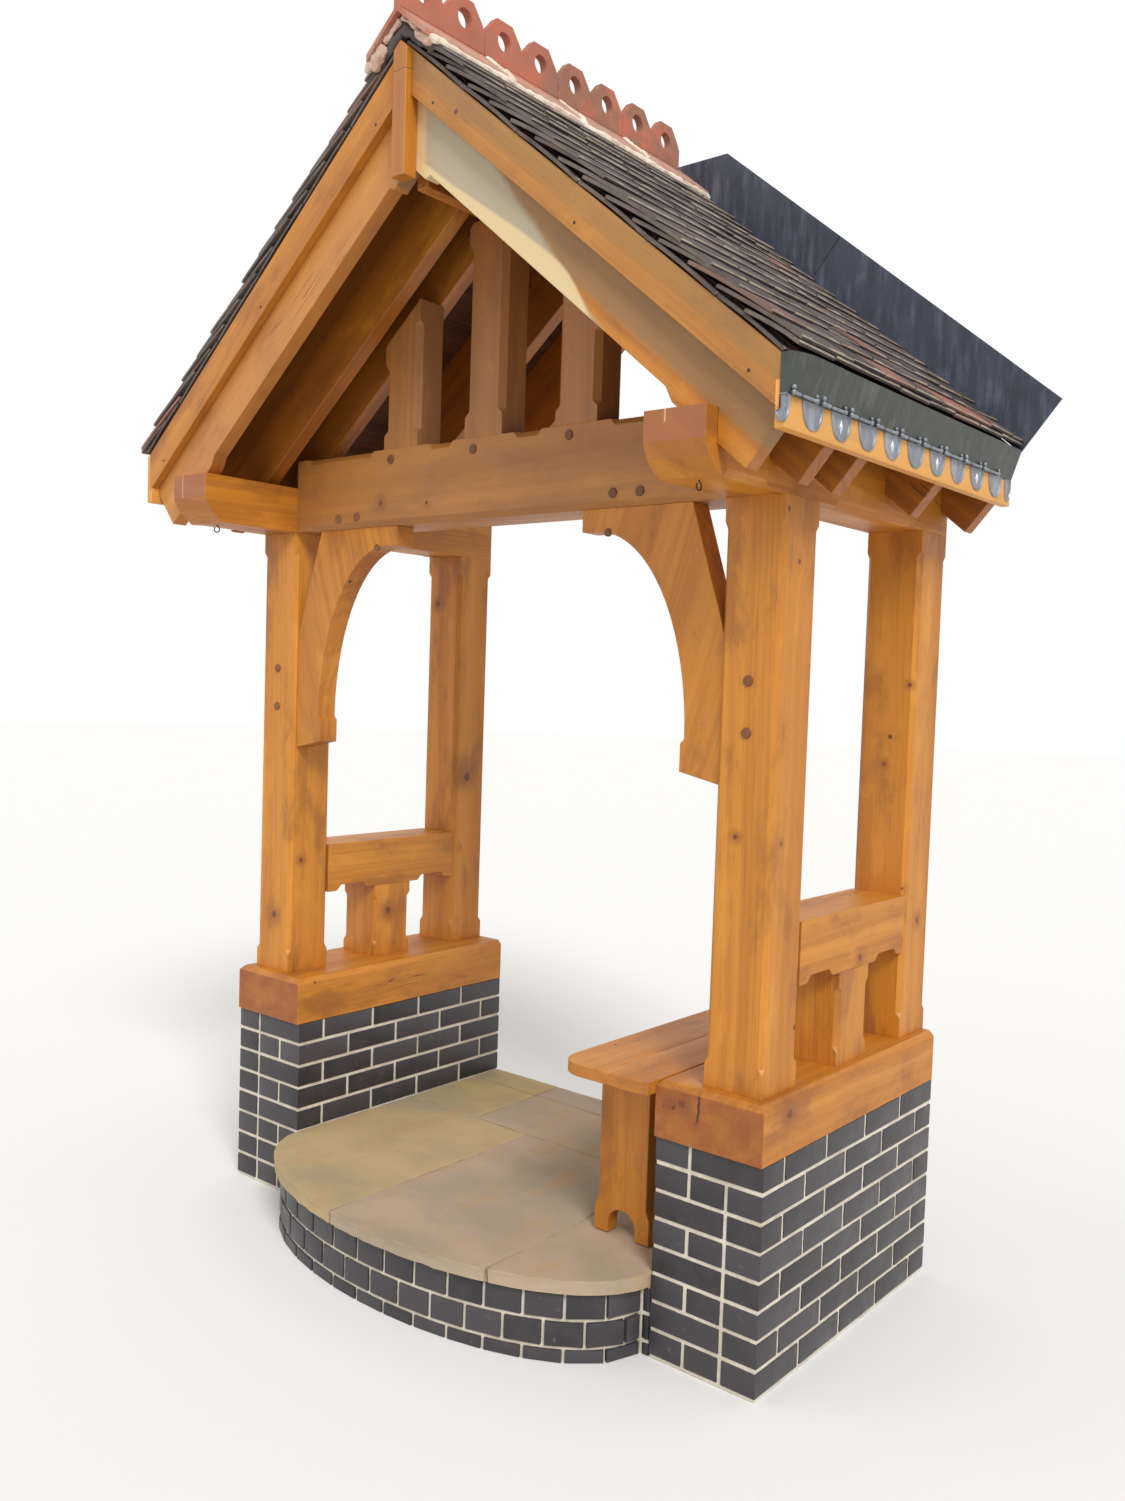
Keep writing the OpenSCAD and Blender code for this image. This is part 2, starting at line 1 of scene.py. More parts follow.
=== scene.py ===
# %% [markdown]
# # An oak porch canopy
# An oak frame with a small tiled roof stands on two low walls of dark brick, with a rounded stone step
# between them. Its solids are already drawn to size. This script loads them as a fixed frame and
# dresses it: every piece is laid where its solid lies. All lengths are metres.

# %% Load the frame
import random
from math import copysign, cos, degrees, pi, radians, sin, sqrt, tan

import bmesh
import bpy
from mathutils import Euler, Matrix, Vector, noise


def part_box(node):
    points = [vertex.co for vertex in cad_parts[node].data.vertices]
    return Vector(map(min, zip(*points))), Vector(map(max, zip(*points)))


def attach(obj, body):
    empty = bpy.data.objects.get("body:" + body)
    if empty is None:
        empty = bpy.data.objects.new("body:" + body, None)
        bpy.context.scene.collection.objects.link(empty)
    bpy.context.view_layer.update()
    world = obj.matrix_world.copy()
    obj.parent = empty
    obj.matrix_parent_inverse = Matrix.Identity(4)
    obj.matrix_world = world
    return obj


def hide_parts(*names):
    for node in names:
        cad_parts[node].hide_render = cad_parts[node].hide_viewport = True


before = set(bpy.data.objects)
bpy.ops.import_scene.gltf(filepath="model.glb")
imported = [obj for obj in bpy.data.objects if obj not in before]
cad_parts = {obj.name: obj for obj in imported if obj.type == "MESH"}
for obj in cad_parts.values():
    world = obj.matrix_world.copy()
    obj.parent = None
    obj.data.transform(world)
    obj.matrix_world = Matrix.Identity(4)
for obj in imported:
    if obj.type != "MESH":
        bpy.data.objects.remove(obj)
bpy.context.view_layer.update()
HANDS = (1, "_right"), (-1, "_left")


def vec(x, y, z):
    return Vector((x, y, z))


shift, spin = Matrix.Translation, Matrix.Rotation
X, Y, Z = vec(1, 0, 0), vec(0, 1, 0), vec(0, 0, 1)

# %% [markdown]
# ## The camera
# The camera stands in front of the right-hand corner at eye height, turned left and tipped down a little.

# %% Place the camera
def placed(name, data):
    """A new object in the scene."""
    thing = bpy.data.objects.new(name, data)
    bpy.context.scene.collection.objects.link(thing)
    return thing


lens = bpy.data.cameras.new("viewpoint")
lens.sensor_width = 36
lens.lens = 30.23
camera = placed("viewpoint", lens)
camera.matrix_world = (shift((2.604, -3.694, 1.777)) @ spin(radians(39.62), 4, "Z")
                       @ spin(radians(87.0), 4, "X") @ spin(radians(1.88), 4, "Z"))
bpy.context.scene.camera = camera
print("camera at", [round(c, 3) for c in camera.matrix_world.translation])

# %% [markdown]
# ## A short way to wire a finish
# Every finish is a tree of nodes, which is long and hard to read when written out in full. So this class
# makes each node one call, and the colour is painted in layers: each tint goes over the ones before.

# %% Finish helper
def rgb(red, green, blue):
    """A colour as it is read on screen, turned into the linear values that a shader works with."""
    def linear(c):
        c = c / 255
        return c / 12.92 if c <= 0.04045 else ((c + 0.055) / 1.055) ** 2.4
    return linear(red), linear(green), linear(blue), 1


class Finish:
    """A material under construction. Each method adds nodes, and most return an output socket."""

    def __init__(self, name, world=None):
        self.owner = bpy.data.materials.new(name) if world is None else world
        self.owner.use_nodes = True
        self.tree = self.owner.node_tree
        self.tree.nodes.clear()
        if world is None:
            self.place = self.add("TexCoord", {}, "Object")

    def add(self, kind, values, output=0, **settings):
        made = self.tree.nodes.new("ShaderNode" + kind)
        for key, value in settings.items():
            setattr(made, key, value)
        for key, value in values.items():
            if isinstance(value, bpy.types.NodeSocket):
                self.tree.links.new(value, made.inputs[key])
            elif value is not None:
                made.inputs[key].default_value = value
        return made.outputs[output] if len(made.outputs) else None

    def tone(self):
        return self.add("Attribute", {}, "Fac", attribute_name="tone")

    def facing(self, axis):
        return self.split(self.add("NewGeometry", {}, "Normal"), axis)

    def moved(self, vector, location=(0, 0, 0), rotation=(0, 0, 0), scale=(1, 1, 1)):
        return self.add("Mapping", {0: vector, 1: location, 2: rotation, 3: scale})

    def noise(self, scale, detail=2.0, rough=0.5, on=None, output=0):
        """Noise on the object's own coordinates or on others. Three scales stretch it."""
        vector = self.place if on is None else on
        if isinstance(scale, tuple):
            vector, scale = self.moved(vector, scale=scale), 1.0
        return self.add("TexNoise", {"Vector": vector, "Scale": scale, "Detail": detail, "Roughness": rough}, output)

    def cells(self, vector, scale=1.0, output=0):
        return self.add("TexVoronoi", {"Vector": vector, "Scale": scale}, output)

    def math(self, operation, a, b=None, c=None):
        return self.add("Math", {0: a, 1: b, 2: c}, operation=operation)

    def times(self, a, *others):
        for b in others:
            a = self.math("MULTIPLY", a, b)
        return a

    def plus(self, a, b):
        return self.math("ADD", a, b)

    def minus(self, a, b):
        return self.math("SUBTRACT", a, b)

    def size(self, a):
        return self.math("ABSOLUTE", a)

    def vector(self, operation, a, b=None, scale=None, output=0):
        return self.add("VectorMath", {0: a, 1: b, 3: scale}, output, operation=operation)

    def dot(self, a, b):
        return self.vector("DOT_PRODUCT", a, b, output=1)

    def span(self, value, low, high, to_low=0.0, to_high=1.0):
        return self.add("MapRange", {0: value, 1: low, 2: high, 3: to_low, 4: to_high}, interpolation_type="SMOOTHSTEP")

    def blend(self, factor, a, b):
        return self.add("Mix", {0: factor, 6: a, 7: b}, 2, data_type="RGBA")

    def tint(self, factor, *colour):
        """Paints over the colours before, with three numbers as read on screen or a ready colour."""
        self.shade = self.blend(factor, self.shade, rgb(*colour) if len(colour) == 3 else colour[0])

    def wash(self, value, low, high, most, *colour):
        """Paints a colour where a value is high: nothing at low, and the most at high."""
        self.tint(self.span(value, low, high, 0, most), *colour)

    def split(self, vector, axis):
        return self.add("SeparateXYZ", {0: vector}, axis)

    def at(self, axis):
        return self.split(self.place, axis)

    def bump(self, height, depth, strength=1.0, under=None):
        return self.add("Bump", {"Height": height, "Distance": depth, "Strength": strength, "Normal": under})

    def done(self, roughness, normal=None, **others):
        values = {"Base Color": self.shade, "Roughness": roughness, "Normal": normal, **others}
        self.add("OutputMaterial", {0: self.add("BsdfPrincipled", values)})
        return self.owner


print("finish helper ready")

# %% [markdown]
# ## Soft studio light
# A soft sun stands high on the right, where the real one was, so the right-hand faces read lighter
# than the fronts. It is twenty degrees wide, which blurs its shadows. A weaker one fills from the left,
# and white surroundings do the rest. Only the camera and shiny surfaces see those at full white.

# %% Light the studio
def soft_sun(name, towards, strength, width):
    """A sun that shines along a direction, as wide as the given angle in degrees."""
    data = bpy.data.lights.new(name, "SUN")
    data.energy, data.angle = strength, radians(width)
    lamp = placed(name, data)
    lamp.location = -4 * Vector(towards)
    lamp.rotation_euler = Vector(towards).to_track_quat("-Z", "Y").to_euler()


soft_sun("key_sun", (-0.62, 0.42, -0.66), 2.1, 20)
soft_sun("fill_sun", (0.60, 0.55, -0.45), 0.35, 60)

world = bpy.data.worlds.new("surroundings")
bpy.context.scene.world = world
sky = Finish("surroundings", world)
seen = [sky.add("LightPath", {}, f"Is {kind} Ray") for kind in ("Camera", "Glossy", "Transmission")]
any_seen = sky.math("MAXIMUM", sky.math("MAXIMUM", seen[0], seen[1]), seen[2])
strength = sky.add("MapRange", {0: any_seen, 3: 0.62, 4: 1.0})
sky.add("OutputWorld", {0: sky.add("Background", {0: (1, 1, 1, 1), 1: strength})})

bpy.ops.mesh.primitive_circle_add(vertices=96, radius=40, fill_type="NGON", location=(0, 0, -0.001))
floor = bpy.context.object
floor.name = "studio_floor"
pale = Finish("studio_floor")
pale.shade = rgb(240, 239, 236)
floor.data.materials.append(pale.done(0.9))
bpy.context.scene.view_settings.view_transform = "Standard"

# %% [markdown]
# ## Turning meshes into pieces
# Each visible thing becomes a piece: a mesh with a finish, riding on the frame and standing for the
# solid it covers. It is shaded smooth, and its sharp edges are kept.

# %% Piece helper
def piece(name, mesh, finish, slot, *nodes, crease=35):
    """Adds the mesh to the scene as a piece of the canopy that stands for the given solids.

    Edges of more than crease degrees stay sharp.
    """
    if isinstance(mesh, bmesh.types.BMesh):
        made, mesh = mesh, bpy.data.meshes.new(name)
        made.to_mesh(mesh)
        made.free()
    mesh.shade_smooth()
    mesh.set_sharp_from_angle(angle=radians(crease))
    mesh.materials.append(finish)
    thing = placed(name, mesh)
    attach(thing, "root")
    if nodes:
        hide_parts(*nodes)


def span_of(node):
    """Lowest and highest corner of a solid."""
    low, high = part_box(node)
    return Vector(low), Vector(high)


print("front posts span", [tuple(round(c, 3) for c in corner) for corner in span_of("post_front_right")])

# %% [markdown]
# ## Many small things in one mesh
# Bricks, tiles and pegs are the same few shapes over and over. A heap copies the points of a pattern
# to every place, so a whole wall is one mesh. Each copy carries a number called tone, from 0 to 1, that
# the finish reads to make it a little lighter, darker or redder. Patterns are skins over rows of points.

# %% Heap helper
class Heap:
    """Copies of small patterns, gathered into one mesh."""

    def __init__(self):
        self.points, self.faces, self.tones = [], [], []

    def add(self, pattern, matrix=Matrix.Identity(4), tone=0.5):
        points, faces = pattern
        start = len(self.points)
        self.points += [matrix @ p for p in points]
        self.faces += [[start + i for i in face] for face in faces]
        self.tones += [tone] * len(points)

    def piece(self, name, *others):
        mesh = bpy.data.meshes.new(name)
        mesh.from_pydata(self.points, [], self.faces)
        mesh.attributes.new("tone", "FLOAT", "POINT").data.foreach_set("value", self.tones)
        mesh.validate()
        print(name, "has", len(self.faces), "faces")
        piece(name, mesh, *others)


def pattern_of(bm):
    """Points and faces of a small mesh, to copy from."""
    bm.verts.index_update()
    pattern = [v.co.copy() for v in bm.verts], [[v.index for v in f.verts] for f in bm.faces]
    bm.free()
    return pattern


blocks = {}
WORN = 0.0022


def block(size, ease=WORN):
    """A box with rounded arrises, centred on the origin, kept so that each size is made only once."""
    key = tuple(round(s, 5) for s in size), ease
    if key not in blocks:
        bm = bmesh.new()
        bmesh.ops.create_cube(bm, size=1, matrix=Matrix.Diagonal((*size, 1)))
        bmesh.ops.bevel(bm, geom=bm.edges[:], offset=ease, segments=2, profile=0.6, affect="EDGES")
        blocks[key] = pattern_of(bm)
    return blocks[key]


def skin(bm, rows, flip=False):
    """Faces between rows of points."""
    for a, b in zip(rows, rows[1:]):
        for i in range(len(a) - 1):
            bm.faces.new((a[i], b[i], b[i + 1], a[i + 1]) if flip else (a[i], a[i + 1], b[i + 1], b[i]))


def back_and_rim(bm, front, rear):
    """The faces that make a slab of a front skin: the rear and the four narrow sides."""
    skin(bm, rear, True)
    skin(bm, (front[0], rear[0]), True)
    skin(bm, (front[-1], rear[-1]))
    for k in (0, -1):
        skin(bm, [[row[k] for row in rows] for rows in (front, rear)], k == -1)


def tube(bm, rings, open_start=False):
    """Faces round a stack of rings, with a cap on both ends or on the last one alone."""
    skin(bm, [ring + ring[:1] for ring in rings])
    bm.faces.new(rings[-1])
    if not open_start:
        bm.faces.new(rings[0][::-1])
    bmesh.ops.recalc_face_normals(bm, faces=bm.faces[:])
    return bm


print("heap helper ready")

# %% [markdown]
# ## Dark brick and pale mortar
# The bricks are dark with a slight sheen, and hardly two have quite the same grey. Tone picks each
# brick's shade, fine noise gives the fired skin its pits, and a thin haze of mortar is left where the
# joints were wiped. The mortar is sandy and matt.

# %% Brick and mortar finishes
f = Finish("dark_brick")
f.shade = f.blend(f.tone(), rgb(39, 37, 41), rgb(68, 65, 70))
cloud = f.noise(14, 3, 0.6)
f.wash(cloud, 0.35, 0.75, 0.5, 71, 64, 65)
f.wash(f.noise(38, 4, 0.65), 0.62, 0.78, 0.28, 150, 143, 134)
pits = f.bump(f.noise(420, 2, 0.6), 0.0007, 0.5, f.bump(f.noise(60, 3), 0.0012, 0.6))
dark_brick = f.done(f.span(cloud, 0.3, 0.7, 0.34, 0.5), pits)


def mortar_finish(name, light, dark):
    """Sandy mortar; whatever has a tone over 0.95 is stained pink by clay."""
    f = Finish(name)
    grain = f.noise(520, 2, 0.7)
    f.shade = f.blend(f.span(f.noise(11, 4, 0.6), 0.35, 0.7), light, dark)
    f.wash(grain, 0.55, 0.75, 0.35, 150, 132, 108)
    f.wash(f.tone(), 0.94, 0.97, 0.6, 184, 136, 118)
    return f.done(0.92, f.bump(grain, 0.001, 0.9, f.bump(f.noise(90, 3), 0.002)))


joint_mortar = mortar_finish("joint_mortar", rgb(223, 214, 197), rgb(198, 187, 169))
print("finishes:", dark_brick.name, joint_mortar.name)

# %% [markdown]
# ## A brick and its bed
# A bricklayer never sets two bricks quite alike, so each lies a hair askew. Mortar is not laid joint by
# joint: one core fills the whole wall and stays a little behind the bricks, which leaves struck joints.

# %% Brick and core helpers
BRICK, HALF, BED, JOINT = 0.215, 0.1025, 0.065, 0.010
COURSE, LEAF, RECESS = BED + JOINT, HALF + JOINT, 0.0025
rng = random.Random(11)


def lay(heap, low, high):
    """One brick between two corners, a hair askew and with its own tone."""
    nudge = Vector([rng.uniform(-0.0006, 0.0006) for _ in range(3)])
    turn = Euler([rng.uniform(-0.003, 0.003) for _ in range(3)]).to_matrix().to_4x4()
    size = high - low - vec(0.0012, 0.0012, 0.0012)
    heap.add(block(size), shift((low + high) / 2 + nudge) @ turn, rng.random())


def mortar_core(low, high, step=0.0125):
    """A box of mortar with a fine grid of points, pushed in and out a little by noise."""
    bm, size = bmesh.new(), high - low
    for axis in range(3):
        a, b = (axis + 1) % 3, (axis + 2) % 3
        na, nb = [max(1, round(size[k] / step)) for k in (a, b)]
        for side, level in enumerate((low[axis], high[axis])):
            grid = []
            for i in range(na + 1):
                row = [bm.verts.new() for j in range(nb + 1)]
                for j, v in enumerate(row):
                    v.co[axis], v.co[a], v.co[b] = level, low[a] + size[a] * i / na, low[b] + size[b] * j / nb
                grid.append(row if side else row[::-1])
            skin(bm, grid, True)
    bmesh.ops.remove_doubles(bm, verts=bm.verts[:], dist=1e-5)
    for v in bm.verts:
        for axis in range(3):
            if min(abs(v.co[axis] - low[axis]), abs(v.co[axis] - high[axis])) < 1e-5:
                inward = 1 if v.co[axis] < (low[axis] + high[axis]) / 2 else -1
                v.co[axis] += inward * 0.0012 * (1 + noise.noise(v.co * 70))
    return bm


print("a course is", COURSE, "m high")

# %% [markdown]
# ## The dwarf walls
# Each wall is one and a half bricks thick and eight courses high. Its outer face is in plain
# stretcher bond: a course starts at the front corner with half a brick, the next with a whole one. The
# front shows a straight joint behind the corner bricks, with pairs of halves and whole bricks in turn.

# %% Lay the walls
for side, hand in HANDS:
    low, high = span_of("wall" + hand)
    outer = high.x if side > 0 else low.x
    heap = Heap()
    for course in range(8):
        z0 = high.z - course * COURSE - BED
        z1 = z0 + BED - (0 if course else 0.0005)

        def brick(leaf, width, y, size):
            """A brick on one of the three leaves of the wall, counted from its outer face."""
            xa, xb = sorted((outer - side * leaf * LEAF, outer - side * (leaf * LEAF + width)))
            lay(heap, vec(xa, y, z0), vec(xb, y + size, z1))

        if course % 2:
            deep, fronts = BRICK, [(0, HALF), (1, HALF), (2, HALF)]
        else:
            deep, fronts = HALF, [(0, BRICK), (2, HALF)] if course == 0 and side > 0 else [(0, HALF), (1, BRICK)]
        covered = [HALF] * 3
        for leaf, width in fronts:
            if width == HALF and leaf != 1:
                covered[leaf] = deep
            brick(leaf, width, low.y, covered[leaf])
        for leaf in range(3):
            y = low.y + covered[leaf] + JOINT
            while y < high.y - 0.02:
                brick(leaf, HALF, y, min(BRICK, high.y - y))
                y += BRICK + JOINT
    heap.piece("bricks" + hand, dark_brick, "brick", "wall" + hand)
    core = mortar_core(vec(low.x + RECESS, low.y + RECESS, 0), high - vec(RECESS, RECESS, 0.001))
    piece("mortar" + hand, core, joint_mortar, "brick", "wall" + hand)

# %% [markdown]
# ## Oak
# Planed and oiled oak is nearly one golden colour. What shows on it is fine and straight: thin darker
# lines where the growth rings are cut, short fibres, soft clouds with tiny dark pips in them, and a few
# small knots that push the lines aside. Each point of the timber is turned so that the grain lies
# along X, and its distance from the heart of the log picks the growth line, which turns the lines to
# rings on the ends. Every timber gets its own heart and seed.

# %% Oak finish
GOLD, TAN_OAK, BROWN = rgb(206, 134, 38), rgb(174, 103, 29), rgb(124, 69, 24)


def mixed(a, b, share):
    return [a[i] * (1 - share) + b[i] * share for i in range(4)]


def wander(f, size, rate=5.0):
    """A slow noise between minus and plus size, to keep the edge of a stain from being straight."""
    return f.math("MULTIPLY_ADD", f.noise(rate, 4, 0.6), 2 * size, -size)


def oak_finish(name, along, centre, seed, painted_shade, knots, stain):
    """The shade number darkens the timber as painted shade, knots are (place, radius), and stain adds what one
    board alone has: its own marks, and on some boards painted light and shade.
    """
    f, draw = Finish(name), random.Random(seed)
    turn = Vector(along).rotation_difference(X)
    heart = vec(draw.uniform(2, 40), draw.choice((-1, 1)) * draw.uniform(0.05, 0.14), draw.uniform(-0.22, -0.09))
    grain = f.moved(f.place, heart - turn @ Vector(centre), turn.to_euler())
    # a knot sits in a few of the cells of an even pattern, and wherever one is asked for
    gap = f.cells(grain, 6.7)
    chosen = f.span(f.split(f.cells(grain, 6.7, 1), 0), 0.78, 0.80)
    knot = f.times(f.span(gap, 0.056, 0.042), chosen)
    swirl, burr = f.times(f.span(gap, 0.30, 0.0), chosen), 0.0
    for spot, radius in knots:
        near = f.math("DIVIDE", f.vector("DISTANCE", f.place, spot, output=1), radius)
        knot = f.math("MAXIMUM", knot, f.span(near, 1.0, 0.8))
        swirl = f.math("MAXIMUM", swirl, f.span(near, 4.0, 0.0))
        burr = f.math("MAXIMUM", burr, f.span(f.plus(near, wander(f, 2.0, 16.0)), 5.0, 0.5))
    # growth lines by distance from the heart
    drift = f.vector("SUBTRACT", f.noise((0.7, 3.0, 3.0), 3, 0.55, grain, 1), (0.5, 0.5, 0.5))
    bent = f.vector("ADD", grain, f.vector("SCALE", drift, scale=0.05))
    radius = f.vector("LENGTH", f.vector("MULTIPLY", bent, (0.012, 1, 1)), output=1)
    radius = f.math("MULTIPLY_ADD", swirl, 0.012, radius)
    bands = f.add("CombineXYZ", {0: f.times(f.split(grain, 0), 0.3), 1: f.times(radius, 95.0), 2: 0.0})
    wide, narrow = f.noise(0.45, 2, 0.5, bands), f.noise(2.3, 3, 0.6, bands)
    fibre = f.noise((4, 220, 220), 3, 0.65, grain)
    cloud = f.noise((3.2, 8, 8), 5, 0.62, grain)
    # colour, from light to dark
    # painted shade: the shade number, with a little chance, moves the colours from gold towards brown
    tone_and_painted_shade = max(0.0, draw.uniform(-0.1, 0.1) + painted_shade)
    f.shade = f.blend(f.span(wide, 0.34, 0.66, 0, 0.55), mixed(GOLD, TAN_OAK, tone_and_painted_shade), mixed(TAN_OAK, BROWN, tone_and_painted_shade))
    f.tint(f.span(narrow, 0.50, 0.72, 0, 0.20), BROWN)
    f.wash(fibre, 0.48, 0.80, 0.42, 128, 72, 26)
    patch = f.span(cloud, 0.50, 0.66)
    f.tint(f.times(patch, 0.55), 138, 80, 32)
    f.wash(cloud, 0.44, 0.32, 0.30, 226, 156, 54)
    pips = f.span(f.cells(f.moved(grain, scale=(60, 130, 130))), 0.20, 0.08)
    f.tint(f.times(pips, patch, 0.75), 98, 52, 24)
    # ends of the timber are darker and pinker, since they drink more oil
    end = f.size(f.dot(f.add("NewGeometry", {}, "Normal"), Vector(along).normalized()))
    f.wash(end, 0.72, 0.95, 0.5, 158, 92, 40)
    # a board's own marks, and on some boards painted light and shade
    if stain:
        stain(f)
    f.tint(f.times(swirl, 0.15), 140, 76, 28)
    f.tint(f.times(burr, 0.5), 122, 66, 24)
    f.tint(f.times(knot, 0.85), f.blend(f.span(gap, 0.035, 0.015), rgb(104, 50, 22), rgb(66, 34, 20)))
    # drying cracks: thin lines along the grain, where a second noise allows them
    line = f.size(f.minus(f.noise((1.2, 30, 30), on=grain), 0.5))
    crack = f.times(f.span(line, 0.010, 0.003), f.span(f.noise((2.2, 7, 7), on=grain), 0.64, 0.70))
    f.tint(f.times(crack, 0.7), 78, 46, 26)
    height = f.minus(f.math("MULTIPLY_ADD", fibre, 0.5, f.times(narrow, 0.4)), f.times(crack, 2.5))
    return f.done(f.span(wide, 0.3, 0.7, 0.46, 0.56), f.bump(height, 0.0010, 0.5))


print("oak finish ready")

# %% [markdown]
# ## The timbers
# The solids have the right shape already, with their chamfers, stops and curves, but a pass of
# sandpaper leaves each real arris about a millimetre and a half blunt. So each timber is a copy of its
# solid with the triangles merged into flat faces and the arrises eased, which catches the light.

# %% Ease the timbers
PITCH = radians(39.5)
COS, SIN, TAN = cos(PITCH), sin(PITCH), tan(PITCH)


def slope_along(side):
    """Direction down one slope of the roof."""
    return vec(side * COS, 0, -SIN)


def slope_out(side):
    """Direction square out of one slope."""
    return vec(side * SIN, 0, COS)


def eased(node, ease=0.0015, sharp=24):
    bm = bmesh.new()
    bm.from_mesh(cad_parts[node].data)
    bmesh.ops.remove_doubles(bm, verts=bm.verts[:], dist=1e-5)
    bmesh.ops.dissolve_limit(bm, angle_limit=radians(1), verts=bm.verts[:], edges=bm.edges[:])
    arrises = [e for e in bm.edges if e.is_manifold and e.calc_face_angle(0) > radians(sharp)]
    bmesh.ops.bevel(bm, geom=arrises, offset=ease, segments=1, affect="EDGES", clamp_overlap=True)
    return bm


def timber(node, along, painted_shade, seed):
    low, high = span_of(node)
    finish = oak_finish("oak_" + node, along, (low + high) / 2, seed, painted_shade, KNOTS.get(node, ()), BOARD_MARKS_AND_PAINTED_LIGHT.get(node))
    piece(node + "_oak", eased(node), finish, "oak", node, crease=12)


print("slope of the roof:", round(degrees(PITCH), 1), "degrees")

# %% [markdown]
# ## What single boards show
# Some boards have marks of their own, and some get painted light and shade. The right verge rafter has a
# grey-cream skin from its peak down, painted shade of the bargeboard in brown-grey beyond it, and a pale
# strip of sapwood along its lower edge that painted sunlight makes paler. The right bargeboard gets painted
# shade along its top and painted sunlight on its foot. The left verge rafter has a grey strip beside the
# apex block, which is cracked near its top and whose front gets painted shade, redder and darker. Such
# marks are placed by how far down the slope and how deep below the rafters' top they lie.

# %% Marks on the gable boards
RAFTER_TOP = span_of("apex_block")[1].z


def slope_place(f):
    """How far a point lies down the right slope from the peak, and how deep below the rafters' top."""
    down, out, peak = slope_along(1), slope_out(1), vec(0, 0, RAFTER_TOP)
    return f.minus(f.dot(f.place, down), peak.dot(down)), f.minus(peak.dot(out), f.dot(f.place, out))


def front_of(f):
    """How squarely a face looks to the front, from -1 to 1."""
    return f.times(f.facing(1), -1.0)


def right_verge(f):
    along, depth = slope_place(f)
    depth = f.plus(depth, wander(f, 0.008))
    # painted shade: brown-grey over the upper part of the face, the shadow of the bargeboard, down to a line along the
    # slope
    f.wash(depth, 0.196, 0.176, 0.72, 134, 106, 68)
    edge = f.math("MULTIPLY_ADD", depth, -4.1, f.plus(along, wander(f, 0.10, 3.0)))
    f.wash(edge, 0.17, 0.06, 0.85, 176, 166, 142)
    # the pale strip of sapwood along the lower edge, made paler with painted sunlight
    line = f.plus(f.span(along, 0.2, 0.85, 0.210, 0.174), f.span(along, 0.85, 1.12, 0.0, 0.068))
    sapwood_strip_and_painted_sun = f.times(f.span(f.minus(depth, line), -0.006, 0.006, 0, 0.88), f.span(along, 1.16, 1.04))
    f.tint(sapwood_strip_and_painted_sun, 224, 198, 148)
    f.wash(f.at(0), 0.075, 0.045, 0.8, 226, 190, 136)


def left_verge(f):
    f.tint(0.25, 206, 150, 98)
    f.wash(f.at(0), -0.053, -0.050, 0.75, 136, 112, 82)


def right_barge_painted_light(f):
    depth = slope_place(f)[1]
    # painted shade: the whole board is a little greyer, and its upper part under the tiles more so
    f.tint(f.span(f.plus(depth, wander(f, 0.012)), 0.066, 0.036, 0.25, 0.55), 146, 116, 72)
    # painted sunlight: a bright patch on the end of the board at the eaves
    f.tint(f.times(f.span(f.at(0), 1.1895, 1.1915), f.span(f.at(2), 2.446, 2.440)), 240, 168, 88)


def apex_painted_shade_and_crack(f):
    # painted shade: the front face is made darker and redder than the sides
    f.wash(front_of(f), 0.6, 0.9, 0.6, 158, 98, 60)
    crack = f.size(f.plus(f.minus(f.at(2), RAFTER_TOP - 0.078), wander(f, 0.006, 30.0)))
    f.wash(crack, 0.0016, 0.0006, 0.85, 60, 36, 24)


print("rafters' top at the peak:", round(RAFTER_TOP, 4))

# %% [markdown]
# ## Marks on the frame
# Lower down, ends make the difference: the ends of sills and plates have drunk more oil and are redder.
# The truss gets painted shade, dull and greyer, and the fascias painted sunlight, pale. A few knots catch
# the eye, so these are set where they really sit.

# %% Marks on the frame
PLATE_TOP = span_of("wall_plate_right")[1].z
SILL_FRONT = span_of("sill_right")[0].y
SPLIT_X = 0.873


def red_sill(f):
    """Sills are redder than the posts, most of all on their front ends, and the right one is split there."""
    front, blotch = front_of(f), f.span(f.noise(14, 4, 0.6), 0.36, 0.62, 0.45, 0.95)
    f.tint(f.times(f.span(front, 0.6, 0.9, 0.10, 0.78), blotch), 138, 70, 28)
    split = f.size(f.plus(f.minus(f.at(0), SPLIT_X), wander(f, 0.014, 22.0)))
    split = f.times(f.span(split, 0.0060, 0.0025), f.span(f.at(2), 0.655, 0.675), f.span(front, 0.6, 0.9), 0.9)
    f.tint(split, 62, 22, 12)


def painted_truss_shade(f):
    """Painted shade on the truss: it is made duller and greyer than the posts, since the roof shades it."""
    f.tint(0.42, 150, 110, 70)


def painted_sunlit_fascia(f):
    # painted sunlight: the fascias are made paler and yellower
    f.tint(0.5, 236, 180, 98)


def plate_end(f):
    front = f.span(front_of(f), 0.90, 0.97)
    f.tint(f.times(front, 0.72), 152, 92, 58)
    # one pale streak on each: short on the right, from top to bottom on the left
    across = f.plus(f.at(0), wander(f, 0.003, 12.0))
    right = f.times(f.span(f.size(f.minus(across, 0.916)), 0.0035, 0.0015),
                    f.span(f.at(2), PLATE_TOP - 0.034, PLATE_TOP - 0.026))
    left = f.span(f.size(f.plus(across, 0.980)), 0.0025, 0.0010)
    f.tint(f.times(f.math("MAXIMUM", right, left), front, 0.7), 222, 180, 136)


